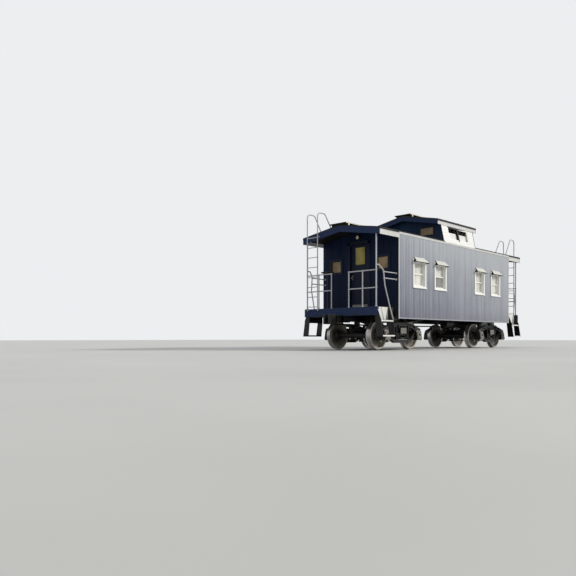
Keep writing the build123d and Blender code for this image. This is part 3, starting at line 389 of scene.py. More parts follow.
# Cream for the walks' outer edges: a painted highlight of the sun on them
LIT_EDGES = wood("board_edge", rgb(240, 232, 212), rgb(196, 184, 160), 0, 1, 0.215)
PINE = wood("inner_wood", rgb(196, 160, 108), rgb(132, 98, 60), 2, 0, BOARD, 0.5)
IRON = iron("iron_black", rgb(17, 17, 19), rgb(92, 84, 74), 0.30, 0.45, 0.15)
CAST = iron("cast_iron", rgb(18, 18, 20), rgb(104, 95, 84), 0.24, 0.45, 0.20)
# Slightly paler iron for the frames' raised rims: painted highlight
FRAME_HIGHLIT = iron("frame_highlit_iron", rgb(34, 34, 38), rgb(118, 110, 100), 0.26, 0.35, 0.20)
# Pale grey iron: dust and wear, and also a painted highlight of the sun
WORN_AND_HIGHLIT = iron("worn_highlit_iron", rgb(122, 119, 113), rgb(160, 153, 141), 0.34, 0.5, 0.25)
SPRING = iron("spring_steel", rgb(46, 45, 45), rgb(112, 100, 86), 0.28, 0.6, 0.15)
RAIL = plain_paint("rail_paint", rgb(186, 187, 190), rgb(142, 140, 136), 0.40, 0.35, rgb(112, 76, 54))
STEEL = plain_paint("hinge_steel", rgb(120, 118, 114), rgb(74, 66, 58), 0.35, 0.5, rgb(100, 66, 44), 0.85)
TREAD = plain_paint("step_white", rgb(238, 238, 234), rgb(150, 144, 132), 0.5, 0.45, rgb(96, 70, 52))
LAMP = lamp_finish()
GLASS = glass("clear_glass", rgb(230, 230, 222), 0.21, 0.08)
UPPER = glass("upper_glass", rgb(38, 40, 40), 0.04)
# The door and end panes' warm, nearly opaque tints are a painted reflection of brown foliage
FOLIAGE_REFLECTION = glass("end_glass", rgb(172, 157, 74), 0.80)
TAN_REFLECTION = glass("tan_glass", rgb(164, 138, 98), 0.80)
BLIND = woven()
WHEEL = wheel_finish()

NODE_FINISH = {}
for finish, names in (
    (SIDE, "side_wall_left side_wall_right"),
    (END, "end_wall_a end_wall_b"),
    (ROOF, "main_roof cupola_roof"),
    (FASCIA, "fascia_boards"),
    (CUPOLA_WHITE, "cupola_sides cupola_panels"),
    (CUPOLA_END, "cupola_ends"),
    (WHITE, "window_frames"),
    (HOOD, "window_hoods"),
    (GLASS, "window_glass"),
    (BLIND, "window_blinds"),
    (DOOR, "door_a door_b"),
    (FOLIAGE_REFLECTION, "door_a_glass door_b_glass"),
    (STEEL, "door_hinges"),
    (NAVY, "end_sills"),
    (DECK, "platforms cabin_floor"),
    (WALKS, "running_boards"),
    (IRON, "centre_sill side_sills cross_bearers body_bolsters steps brake_stands"),
    (IRON, "brake_cylinder air_reservoir train_pipe truck_a_brakes truck_b_brakes"),
    (IRON, "truck_a_spring_plank truck_b_spring_plank"),
    (CAST, "couplers truck_a_sideframes truck_b_sideframes truck_a_bolster truck_b_bolster"),
    (SPRING, "truck_a_springs truck_b_springs"),
    (RAIL, "platform_posts railing_bars step_handrails ladder_stiles ladder_rungs"),
    (LAMP, "end_lamps"),
    (WHEEL, "wheelset_a1 wheelset_a2 wheelset_b1 wheelset_b2"),
):
    for node in names.split():
        NODE_FINISH[node] = finish

for name, obj in nodes.items():
    obj.data.materials.clear()
    obj.data.materials.append(NODE_FINISH[name])


# Meshes

def spread(sign, near, far):
    """From one distance to another on one side of the middle, low to high."""
    return sorted((sign * near, sign * far))


def joints(low, high, count):
    return [low + (high - low) * step / count for step in range(1, count)]


def placed(name, data):
    """A new object in the scene."""
    obj = bpy.data.objects.new(name, data)
    bpy.context.scene.collection.objects.link(obj)
    return obj


def shade_smooth(mesh, angle):
    mesh.polygons.foreach_set("use_smooth", [True] * len(mesh.polygons))
    mesh.set_sharp_from_angle(angle=math.radians(angle))


def link(name, mesh, finishes, body, slot, replaces=(), smooth=None, bevel=None):
    """A new piece from a mesh: its finishes, its body and what it stands for."""
    obj = placed(name, mesh)
    for finish in finishes:
        mesh.materials.append(finish)
    if smooth:
        shade_smooth(mesh, smooth)
    if bevel:
        edge = obj.modifiers.new("edges", "BEVEL")
        edge.width = bevel
        edge.segments = 2
        edge.limit_method = "ANGLE"
        edge.angle_limit = math.radians(35)
    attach(obj, body)
    if replaces:
        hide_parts(*replaces)
    return obj


def copied(node, flat=1.0):
    """A bmesh of a CAD node's shape, welded, with its flat facets joined."""
    bm = bmesh.new()
    bm.from_mesh(nodes[node].data)
    bmesh.ops.remove_doubles(bm, verts=bm.verts, dist=2e-5)
    if flat:
        bmesh.ops.dissolve_limit(
            bm, angle_limit=math.radians(flat), use_dissolve_boundaries=False, verts=bm.verts, edges=bm.edges
        )
    bm.normal_update()
    return bm


def to_mesh(name, bm):
    mesh = bpy.data.meshes.new(name)
    bm.to_mesh(mesh)
    bm.free()
    return mesh


def added(name, bm, finishes, slot, body="car_body", **more):
    """A new piece, with its faces turned outward."""
    bmesh.ops.recalc_face_normals(bm, faces=bm.faces)
    return link(name, to_mesh(name, bm), finishes, body, slot, **more)


def rebuilt(node, ending, bm, finishes, slot, body="car_body", **more):
    """A changed copy of a CAD node's shape, which stands for that node."""
    return link(node + ending, to_mesh(node, bm), finishes, body, slot, (node,), **more)


def paint(bm, choose):
    """One of the piece's finishes for each face, by the face's middle and direction."""
    for face in bm.faces:
        face.material_index = choose(face.calc_center_median(), face.normal)


def refined(node, finishes, slot, body="car_body", bevel=0.004, smooth=None, choose=None):
    """A CAD node's shape with its edges eased, and a finish for each face."""
    bm = copied(node)
    if choose:
        paint(bm, choose)
    rebuilt(node, "_made", bm, finishes, slot, body, smooth=smooth, bevel=bevel)


def cut(bm, axis, at, chosen=None):
    """A cut across an axis, through all faces or through those whose middle is chosen."""
    across = Vector((0, 0, 0))
    across[axis] = 1.0
    if chosen:
        faces = [face for face in bm.faces if chosen(face.calc_center_median())]
        verts = dict.fromkeys(vert for face in faces for vert in face.verts)
        edges = dict.fromkeys(edge for face in faces for edge in face.edges)
        geometry = [*verts, *edges, *faces]
    else:
        geometry = bm.verts[:] + bm.edges[:] + bm.faces[:]
    bmesh.ops.bisect_plane(bm, geom=geometry, dist=1e-6, plane_co=across * at, plane_no=across)


def groove(bm, axis, at, half, depth, outward, where=lambda co: True):
    """V grooves across the faces that look along outward."""
    for joint in at:
        for offset in (-half, 0.0, half):
            cut(bm, axis, joint + offset)
    bm.normal_update()
    lines = {round(joint, 5) for joint in at}
    moved = []
    for vert in bm.verts:
        if round(vert.co[axis], 5) in lines and where(vert.co):
            if any(face.normal.dot(outward) > 0.97 for face in vert.link_faces):
                moved.append(vert)
    for vert in moved:
        vert.co -= outward * depth


def box_into(bm, x, y, z, index=0):
    """One box added to a bmesh."""
    verts = [bm.verts.new((x[i], y[j], z[k])) for i in (0, 1) for j in (0, 1) for k in (0, 1)]
    for quad in ((0, 1, 3, 2), (4, 6, 7, 5), (0, 4, 5, 1), (2, 3, 7, 6), (0, 2, 6, 4), (1, 5, 7, 3)):
        face = bm.faces.new([verts[i] for i in quad])
        face.material_index = index


def prism_into(bm, outline, low, high):
    """An outline of points in Y and Z, drawn out along X."""
    first = [bm.verts.new((low, y, z)) for y, z in outline]
    last = [bm.verts.new((high, y, z)) for y, z in outline]
    bm.faces.new(first)
    bm.faces.new(last[::-1])
    for i in range(len(outline)):
        j = (i + 1) % len(outline)
        bm.faces.new([first[i], last[i], last[j], first[j]])


def heads_into(bm, points, outward, radius, height, sides=6, index=0):
    """Bolt heads or rivets that stand on a surface at the points."""
    turn = outward.to_track_quat("Z", "Y").to_matrix().to_4x4()
    for point in points:
        place = Matrix.Translation(Vector(point) + outward * height / 2) @ turn
        made = bmesh.ops.create_cone(
            bm, cap_ends=True, segments=sides, radius1=radius, radius2=radius * 0.82, depth=height,
            matrix=place,
        )
        for face in {f for v in made["verts"] for f in v.link_faces}:
            face.material_index = index


# Walls

def side_wall(node, side):
    outward = Vector((0, side, 0))

    def choose(at, normal):
        # The wall's end faces take the ends' navy, which is painted shade
        if abs(normal.x) > 0.9 and abs(at.x) > HALF_LEN - HAIR:
            return 2
        return int(normal.dot(outward) < -0.5)

    bm = copied(node)
    groove(bm, 0, joints(-HALF_LEN, HALF_LEN, SIDE_BOARDS), 0.0045, 0.005, outward)
    paint(bm, choose)
    rebuilt(node, "_boards", bm, [SIDE, PINE, END], "side_paint")


def end_wall(node, end):
    outward = Vector((end, 0, 0))
    bm = copied(node)
    groove(bm, 1, joints(-INNER_W, INNER_W, END_BOARDS), 0.006, 0.007, outward)
    # Outer faces take the ends' navy, which is painted shade
    paint(bm, lambda at, normal: int(normal.dot(outward) < -0.5))
    rebuilt(node, "_boards", bm, [END, PINE], "end_paint")


def cupola_walls():
    """Level boards on the leaning sides, upright ones on the ends."""
    def choose(at, normal):
        # The sides' end faces take the cupola ends' navy, which is painted shade
        if abs(normal.x) > 0.9 and abs(at.x) > CUPOLA_X - HAIR:
            return 2
        return int(normal.y * at.y < -0.5)

    lean = math.atan(CUPOLA_SLOPE)
    heights = [EAVE + CUPOLA_BOARD * step for step in range(7)]
    bm = copied("cupola_sides")
    for side in (-1, 1):
        outward = Vector((0, side * math.cos(lean), math.sin(lean)))
        groove(bm, 2, heights, 0.005, 0.005, outward, lambda co, side=side: co.y * side > 0)
    paint(bm, choose)
    rebuilt("cupola_sides", "_boards", bm, [CUPOLA_WHITE, PINE, CUPOLA_END], "trim_paint")
    places = joints(-INNER_W, INNER_W, END_BOARDS)
    bm = copied("cupola_ends")
    for end in (-1, 1):
        groove(bm, 1, places, 0.006, 0.006, Vector((end, 0, 0)), lambda co, end=end: co.x * end > 0)
    # Outer faces take the cupola ends' navy painted shade
    paint(bm, lambda at, normal: int(normal.x * at.x < -0.5))
    rebuilt("cupola_ends", "_boards", bm, [CUPOLA_END, PINE], "end_paint")


def cupola_y(z):
    """The outer face of the cupola's leaning side at a height."""
    return HALF_W - CUPOLA_SLOPE * (z - (EAVE - ROOF_T))


def body_trim():
    """Corner strips on the sides, the strip along the skirt, and the cupola's dark corner beads."""
    strip_w = 0.034
    reach = HALF_LEN - strip_w - HAIR
    bm = bmesh.new()
    for end, side in CORNERS:
        x = spread(end, HALF_LEN - strip_w, HALF_LEN)
        box_into(bm, x, spread(side, HALF_W, HALF_W + 0.009), (SKIRT, EAVE - 0.060))
    for side in (-1, 1):
        y = spread(side, HALF_W - HAIR, HALF_W + 0.008)
        box_into(bm, (-reach, reach), y, (SKIRT, SKIRT + 0.032), 1)
    added("body_trim", bm, [FASCIA, SKIRTING], "fascia_paint", bevel=0.003)
    low, high = EAVE + 0.004, CUPOLA_WALL_TOP - 0.0025
    bm = bmesh.new()
    for end, side in CORNERS:
        outline = [
            (side * (cupola_y(z) + out), z)
            for z, out in ((low, 0.006), (high, 0.006), (high, -0.020), (low, -0.020))
        ]
        prism_into(bm, outline, *spread(end, CUPOLA_X - 0.004, CUPOLA_X + 0.010))
    added("cupola_beads", bm, [DARK], "end_paint", bevel=0.002)


# Roof

def roofs():
    """The sheets, with the boards of the porch ceilings under their ends, near-black as painted shade."""
    def over_porch(co):
        return abs(co.x) > HALF_LEN - HAIR and abs(co.y) < 1.39

    bm = copied("main_roof")
    for at in (-HALF_LEN, HALF_LEN):
        cut(bm, 0, at)
    places = [side * step * 0.090 for side in (-1, 1) for step in range(1, 16)]
    groove(bm, 1, sorted(places), 0.004, 0.005, -UP, over_porch)
    paint(bm, lambda at, normal: int(normal.z < -0.3 and abs(at.y) < HALF_W))
    rebuilt("main_roof", "_sheet", bm, [ROOF, PORCH_SHADE], "roof_cover", bevel=0.003)
    bm = copied("cupola_roof")
    paint(bm, lambda at, normal: int(normal.z < -0.3))
    rebuilt("cupola_roof", "_sheet", bm, [ROOF, PORCH_SHADE], "roof_cover", bevel=0.003)


def roof_laps():
    """Lapped sheets with nail heads, the ridge strips, and the black drip strips at the eaves."""
    lap_w, lap_t = 0.090, 0.0035
    bm = bmesh.new()
    for top, edge, places in (
        (cover_top, HALF_W + 0.019, [side * x for side in (-1, 1) for x in (1.55, 2.465, 3.38, 4.295)]),
        (cupola_cover_top, CUPOLA_ROOF_Y + 0.019, [-0.80, 0.0, 0.80]),
    ):
        nails = []
        nail_y = [0.36 + 0.13 * k for k in range(int(edge / 0.15) - 3)]
        for x in places:
            for side in (-1, 1):
                outline = [
                    (side * y, top(y) + lift)
                    for y, lift in ((edge, -HAIR), (0.01, -HAIR), (0.01, lap_t), (edge, lap_t))
                ]
                prism_into(bm, outline, x, x + lap_w)
                nails += [(x + 0.02, side * y, top(y) + lap_t) for y in nail_y]
        heads_into(bm, nails, UP, 0.007, 0.003)
    foot, ridge = cover_top(0.34), cover_top(0)
    for end, side in CORNERS:
        outline = [
            (side * 0.34, foot - HAIR), (side * 0.001, ridge - HAIR),
            (side * 0.001, ridge + 0.004), (side * 0.34, foot + 0.004),
        ]
        prism_into(bm, outline, *spread(end, CUPOLA_X + 0.002, ROOF_END + 0.007))
    for top, edge, reach, deep in (
        (cover_top, HALF_W + 0.020, (-ROOF_END, -HALF_LEN), 0.056),
        (cover_top, HALF_W + 0.020, (HALF_LEN, ROOF_END), 0.056),
        (cupola_cover_top, CUPOLA_ROOF_Y + 0.020, (-CUPOLA_ROOF_X, CUPOLA_ROOF_X), 0.062),
    ):
        for side in (-1, 1):
            box_into(bm, reach, spread(side, edge, edge + 0.003), (top(edge) - deep, top(edge) - 0.002))
    added("roof_laps", bm, [ROOF], "roof_cover")


def fascias():
    """Pale eave boards, deep over the porches and narrow over the body, and navy ones at the gables."""
    def is_main(at):
        return at.z < RIDGE_TOP

    bm = copied("fascia_boards")
    for at in (-HALF_LEN, HAIR - HALF_LEN, HALF_LEN - HAIR, HALF_LEN):
        cut(bm, 0, at, is_main)
    for vert in bm.verts:
        if abs(vert.co.x) < HALF_LEN - HAIR / 2:
            vert.co.z = max(vert.co.z, EAVE - 0.062)
    paint(bm, lambda at, normal: int(abs(at.x) > (DECK_END if is_main(at) else CUPOLA_FASCIA_X) - HAIR))
    rebuilt("fascia_boards", "_painted", bm, [FASCIA, NAVY], "fascia_paint")
    bm = bmesh.new()
    for side in (-1, 1):
        for edge, top, deep, reach in (
            (HALF_W + 0.012, roof_top, 0.050, DECK_END), (1.320, cupola_top, 0.030, CUPOLA_FASCIA_X)
        ):
            profile = (0.0, HAIR), (0.007, HAIR), (0.007, 0.014), (0.003, 0.022), (0.002, deep), (0.0, deep)
            outline = [(side * (edge + out), top(edge) - down) for out, down in profile]
            prism_into(bm, outline, -reach, reach)
    added("eave_moulding", bm, [FASCIA], "fascia_paint")
    bm = bmesh.new()
    for top, edge, face_x, drop in (
        (roof_top, 1.450, ROOF_END, 0.066), (cupola_top, 1.318, CUPOLA_ROOF_X, 0.052)
    ):
        for end, side in CORNERS:
            outline = [
                (side * y, top(y) - down)
                for y, down in ((edge, HAIR), (0.001, HAIR), (0.001, drop), (edge, drop))
            ]
            prism_into(bm, outline, *spread(end, face_x - HAIR, face_x + 0.007))
    added("gable_trim", bm, [NAVY], "end_paint", bevel=0.003)


# Windows

def windows():
    post_half = 0.040

    def in_cupola_side(at):
        return at.z > CUPOLA_FOOT and abs(at.y) > 1.1 and abs(at.x) < 0.8

    def frame_finish(at, normal):
        if in_cupola_side(at):
            # In the cupola's sides the middle post is dark, and frame faces above 3.93 m are dark as a
            # painted shadow of the eave
            return 2 if abs(at.x) < post_half + HAIR / 2 or at.z > 3.93 else 0
        return int(at.z > CUPOLA_FOOT or abs(at.x) > 3.5)

    # Only the top slope keeps the hood's white; the lip, cheeks and underside take dark paint as painted
    # shade
    def hood_top_and_shade(at, normal):
        return 0 if normal.z > 0.3 and abs(normal.x) < 0.2 else 1

    def pane_finish(at, normal):
        # Panes at the ends of the car and of the cupola take the tan painted reflection
        if at.z < CUPOLA_FOOT:
            return int(abs(at.x) > 3.4)
        return 1 if abs(at.x) > 0.9 else 2

    bm = copied("window_frames")
    for at in (-post_half, post_half):
        cut(bm, 0, at, in_cupola_side)
    paint(bm, frame_finish)
    rebuilt("window_frames", "_made", bm, [WHITE, DOOR, DARK], "trim_paint", bevel=0.003)
    refined("window_hoods", [HOOD, DARK], "hood_paint", bevel=0.0015, choose=hood_top_and_shade)
    refined("window_glass", [GLASS, TAN_REFLECTION, UPPER], "clear_glass", bevel=None, choose=pane_finish)
    bm = bmesh.new()
    for side in (-1, 1):
        for x in WINDOW_X:
            y = spread(side, HALF_W + HAIR, HALF_W + 0.040)
            box_into(bm, (x - 0.372, x + 0.372), y, (WINDOW_Z - 0.052, WINDOW_Z - 0.028))
    added("window_sills", bm, [WHITE], "trim_paint", bevel=0.003)


def blind_cloth(x, side, width, top, length, phase):
    """A hanging cloth as a grid of points: its waves and curled edges grow towards its foot."""
    columns, rows = 28, 30
    bm = bmesh.new()
    grid = []
    for j in range(rows + 1):
        v = j / rows
        line = []
        for i in range(columns + 1):
            u = i / columns
            wave = 0.0011 * math.sin(u * 9.0 + phase + v * 2.0) * v
            curl = 0.0016 * (abs(2 * u - 1) ** 6)
            place = (x + (u - 0.5) * width, side * (BLIND_Y + wave - curl * v), top - v * length)
            line.append(bm.verts.new(place))
        grid.append(line)
    for over, under in zip(grid, grid[1:]):
        for i in range(columns):
            bm.faces.new([over[i], over[i + 1], under[i + 1], under[i]])
    return bm


def blinds():
    """Roller blinds that hang behind the side windows: cloth with a hem bar, from a box on the wall."""
    half = WINDOW_W / 2 + 0.020
    width = 2 * half - 0.010
    top = WINDOW_Z + WINDOW_H
    bm = bmesh.new()
    for side in (-1, 1):
        for x in WINDOW_X:
            box_into(bm, (x - half, x + half), spread(side, INNER_W - 0.032, INNER_W), (top, top + 0.032))
    boxes = added("blind_boxes", bm, [WHITE], "trim_paint", replaces=("window_blinds",), bevel=0.004)
    for side in (-1, 1):
        for row, (x, drop) in enumerate(zip(WINDOW_X, BLIND_DROPS)):
            length = drop * (WINDOW_H + 0.020)
            rand = random.Random(40 + row + (10 if side > 0 else 0))
            name = "blind_%s_%d" % ("left" if side < 0 else "right", row + 1)
            bm = blind_cloth(x, side, width, top, length, rand.uniform(0, 6))
            cloth = added(name, bm, [BLIND], "blind_cloth", replaces=("window_blinds",), smooth=60)
            thick = cloth.modifiers.new("thick", "SOLIDIFY")
            thick.thickness = 0.0012
            thick.offset = 0.0
            bar = bmesh.new()
            y = spread(side, BLIND_Y - 0.004, BLIND_Y + 0.004)
            box_into(bar, (x - half + 0.006, x + half - 0.006), y, (top - length, top - length + 0.018))
            hem = added(name + "_hem", bar, [BLIND], "blind_cloth", bevel=0.0018)
    refined("cupola_panels", [WHITE], "trim_paint", bevel=0.002)


# Doors

def doors():
    """Each leaf with its glazing beads on both faces, its kick plate and its lock plate."""
    outer, inner = 3.547, 3.503
    glass_half, glass_low, glass_high, bead_w = 0.190, 2.608, 3.138, 0.012
    knob_y, knob_z, knob_r = 0.277, 2.216, 0.030

    def is_knob(at, normal):
        near = abs(abs(at.y) - knob_y) < knob_r and abs(at.z - knob_z) < knob_r
        return int(near and not inner - HAIR <= abs(at.x) <= outer + 0.002)

    for end, turn in (("a", 1), ("b", -1)):
        node = "door_" + end
        refined(node, [DOOR, STEEL], "door_paint", node, 0.003, smooth=35, choose=is_knob)
        bm = bmesh.new()
        for face in (outer - 0.002, inner - 0.007):
            x = spread(-turn, face, face + 0.009)
            far = glass_half + bead_w
            for z in ((glass_low - bead_w, glass_low), (glass_high, glass_high + bead_w)):
                box_into(bm, x, (-far, far), z)
            for side in (-1, 1):
                box_into(bm, x, spread(side, glass_half, far), (glass_low, glass_high))
        box_into(bm, spread(-turn, outer - HAIR, outer + 0.003), (-0.300, 0.300), (1.275, 1.385), 1)
        points = [
            (-turn * (outer + 0.003), y, z) for y in (-0.28, -0.14, 0.0, 0.14, 0.28) for z in (1.292, 1.368)
        ]
        heads_into(bm, points, Vector((-turn, 0, 0)), 0.005, 0.002, 6, 1)
        x = spread(-turn, outer - HAIR, outer + 0.004)
        box_into(bm, x, spread(turn, 0.258, 0.300), (2.150, 2.290), 1)
        added(node + "_fittings", bm, [DOOR, STEEL], "door_paint", node, bevel=0.0015)
    refined("door_hinges", [STEEL], "hinge_steel", bevel=0.001, smooth=40)


def door_casings():
    """Jambs, head, cap and threshold round each door's opening."""
    head_z = 3.300
    bm = bmesh.new()
    for end in (-1, 1):
        x = spread(end, HALF_LEN - HAIR, HALF_LEN + 0.018)
        for side in (-1, 1):
            box_into(bm, x, spread(side, 0.340, 0.420), (FLOOR, head_z))
        box_into(bm, x, (-0.420, 0.420), (3.2245, head_z))
        x = spread(end, HALF_LEN - HAIR, HALF_LEN + 0.035)
        box_into(bm, x, (-0.445, 0.445), (head_z, head_z + 0.022))
        box_into(bm, spread(end, 3.508, HALF_LEN + 0.020), (-0.339, 0.339), (FLOOR, FLOOR + 0.003), 1)
    added("door_casings", bm, [DOOR, STEEL], "end_paint", bevel=0.003)


# Underframe, walks and platforms

def underframe():
    for node in ("side_sills", "cross_bearers", "body_bolsters", "centre_sill"):
        refined(node, [IRON], "iron_black")
    for node, finish, slot, ease in (
        ("brake_cylinder", IRON, "iron_black", 0.004), ("air_reservoir", IRON, "iron_black", 0.006),
        ("train_pipe", IRON, "iron_black", None), ("brake_stands", IRON, "rail_paint", 0.002),
        ("couplers", CAST, "cast_iron", 0.010),
    ):
        refined(node, [finish], slot, bevel=ease, smooth=38)


def walks():
    """The roof walks, with a cream painted highlight on their outer edges and dark painted shade on their
    faces below the top, and the screws over their saddles.
    """
    def choose(at, normal):
        # Top faces keep the wood; outer side faces take a cream painted highlight, the rest dark painted
        # shade
        if normal.z > 0.5:
            return 0
        return 2 if abs(normal.y) > 0.9 and abs(at.y) > 0.312 else 1

    refined("running_boards", [WALKS, DARK, LIT_EDGES], "board_wood", choose=choose)
    points = [
        (end * (4.471 - 0.8275 * saddle), y, cover_top(0) + 0.040)
        for end in (-1, 1) for saddle in range(5) for y in (-0.27, -0.16, -0.05, 0.05, 0.16, 0.27)
    ]
    bm = bmesh.new()
    heads_into(bm, points, UP, 0.009, 0.003, 8)
    added("walk_screws", bm, [STEEL], "hinge_steel")


def decks():
    bm = copied("platforms")
    for end in (-1, 1):
        places = [end * (HALF_LEN + DECK_BOARD * step) for step in range(1, 7)]
        groove(bm, 0, sorted(places), 0.004, 0.010, UP)
    rebuilt("platforms", "_planks", bm, [DECK], "deck_wood")
    bm = copied("cabin_floor")
    groove(bm, 1, joints(-INNER_W, INNER_W, 20), 0.003, 0.006, UP)
    rebuilt("cabin_floor", "_planks", bm, [DECK], "deck_wood")
    refined("end_sills", [NAVY], "end_paint", bevel=0.006)
    bm = bmesh.new()
    for end in (-1, 1):
        points = [(end * SILL_X, y, z) for y in (-1.2, -0.9, -0.32, 0.32, 0.9, 1.2) for z in (1.07, 1.19)]
        heads_into(bm, points, Vector((end, 0, 0)), 0.019, 0.013)
        for y in (-0.62, 0.62):
            box_into(bm, spread(end, SILL_X - HAIR, SILL_X + 0.011), (y - 0.09, y + 0.09), (1.030, 1.070))
        box_into(bm, spread(end, SILL_X - HAIR, SILL_X + 0.015), (-0.20, 0.20), (1.009, 1.030))
    added("end_sill_bolts", bm, [IRON], "iron_black", bevel=0.002)
    points = []
    for end in (-1, 1):
        for step in range(7):
            x = end * (HALF_LEN + DECK_BOARD * (step + 0.5))
            points += [(x, y, FLOOR) for y in (-1.21, -0.60, 0.0, 0.60, 1.21) if abs(x) < 4.44]
    bm = bmesh.new()
    heads_into(bm, points, UP, 0.009, 0.003, 8)
    added("deck_screws", bm, [STEEL], "hinge_steel")


def steps():
    """Cut side plates, white-edged treads with raised bars, and the pale riser; their white outward faces are
    white paint and also a painted highlight of the sun.
    """
    def choose(at, normal):
        # Only the outward faces of the treads and riser take the white: paint, and a painted highlight on the
        # side facing the sun
        out = normal.y * (1 if at.y > 0 else -1)
        tread = 0.405 < at.z < 0.450 or 0.828 < at.z < 0.872
        riser = at.z > 0.9 and abs(at.y) < 1.28
        return int(out > 0.9 and 3.87 < abs(at.x) < 4.46 and (tread or riser))

    refined("steps", [IRON, TREAD], "step_white", bevel=0.002, choose=choose)
    bars = 8
    bm = bmesh.new()
    for end, side in CORNERS:
        for near, far, z in ((1.308, 1.488, 0.445), (1.270, 1.432, 0.867)):
            for bar in range(bars):
                y = near + (far - near) * bar / (bars - 1)
                box_into(bm, spread(end, 3.875, 4.450), spread(side, y, y + 0.008), (z - HAIR, z + 0.005))
        # White nosing strips on the outward edges: paint, and a painted highlight
        for near, z in ((1.491, 0.428), (1.436, 0.850)):
            x = spread(end, 3.874, 4.452)
            box_into(bm, x, spread(side, near, near + 0.015), (z - 0.019, z + 0.0185), 1)
    added("step_bars", bm, [IRON, TREAD], "step_white", bevel=0.0015)
    places = ((1.33, 0.428), (1.47, 0.428), (1.29, 0.850), (1.41, 0.850), (1.262, 1.02), (1.262, 1.17))
    bm = bmesh.new()
    for end, side in CORNERS:
        for x, outward in ((4.469, 1), (3.856, -1)):
            points = [(end * x, side * y, z) for y, z in places]
            heads_into(bm, points, Vector((end * outward, 0, 0)), 0.010, 0.005, 8)
    added("step_rivets", bm, [IRON], "iron_black")


def ball_into(bm, at, radius):
    """The ball of a rail fitting."""
    bmesh.ops.create_uvsphere(bm, u_segments=12, v_segments=8, radius=radius, matrix=Matrix.Translation(at))


def ironwork():
    """Rails, posts and ladders, with balls, feet and bolts at their joints."""
    post_y, bolt_out = 1.310, 0.031
    for node in ("platform_posts", "railing_bars", "step_handrails", "ladder_stiles", "ladder_rungs"):
        refined(node, [RAIL], "rail_paint", bevel=None, smooth=40)
    bm = bmesh.new()
    for end, side in CORNERS:
        for y, radius in ((post_y, 0.030), (0.830, 0.026), (0.330, 0.026)):
            for z in (2.278, 1.780):
                ball_into(bm, (end * POST_X, side * y, z), radius)
        for y in (0.830, 0.330):
            heads_into(bm, [(end * POST_X, side * y, FLOOR)], UP, 0.036, 0.016, 16)
        foot = Vector((end * POST_X, side * post_y, FLOOR + 0.010))
        heads_into(bm, [foot], UP, 0.032, 0.018, 16)
        shifts = ((bolt_out, 0), (-bolt_out, 0), (0, bolt_out), (0, -bolt_out))
        heads_into(bm, [foot + Vector((dx, dy, 0)) for dx, dy in shifts], UP, 0.006, 0.005)
        for x, y, z in ((4.222, 1.361, 2.238), (4.215, 1.370, 2.058)):
            ball_into(bm, (end * x, side * y, z), 0.026)
            heads_into(bm, [(end * HALF_LEN, side * 1.360, z)], Vector((end, 0, 0)), 0.034, 0.010, 12)
    link("rail_fittings", to_mesh("rail_fittings", bm), [RAIL], "car_body", "rail_paint", smooth=40)


def lamps():
    def choose(at, normal):
        return int(abs(at.x) < 3.6275 or abs(abs(normal.x) - 1) < 0.01)

    refined("end_lamps", [LAMP, DARK], "lamp_glass", smooth=40, bevel=0.003, choose=choose)


# Trucks

def wheels():
    """Each wheelset with its origin on its axle, so that its finish follows the radius."""
    for end, sign in ENDS:
        for axle, hand in (("1", 1), ("2", -1)):
            node = "wheelset_" + end + axle
            place = Vector((sign * (TRUCK_X + hand * HALF_BASE), 0, AXLE_Z))
            bm = copied(node, flat=0)
            bmesh.ops.translate(bm, verts=bm.verts, vec=-place)
            mesh = to_mesh(node, bm)
            mesh.materials.append(WHEEL)
            shade_smooth(mesh, 14)
            obj = placed(node + "_turned", mesh)
            obj.location = place
            bpy.context.view_layer.update()
            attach(obj, node)
            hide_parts(node)


def leaf_into(bm, centre, radius, half, thick, width, up):
    """One bowed leaf: an arc of even thickness, its ends trimmed square."""
    steps = 18
    angle = math.asin(half / radius)
    rows = []
    for step in range(steps + 1):
        a = -angle + 2 * angle * step / steps
        row = []
        for r in (radius, radius + thick):
            for y in (-width / 2, width / 2):
                point = (centre[0] + r * math.sin(a), centre[1] + y, centre[2] + up * r * math.cos(a))
                row.append(bm.verts.new(point))
        rows.append(row)
    for one, two in zip(rows, rows[1:]):
        for i, j in ((0, 1), (1, 3), (3, 2), (2, 0)):
            bm.faces.new([one[i], one[j], two[j], two[i]])
    bm.faces.new([rows[0][i] for i in (0, 2, 3, 1)])
    bm.faces.new([rows[-1][i] for i in (0, 1, 3, 2)])


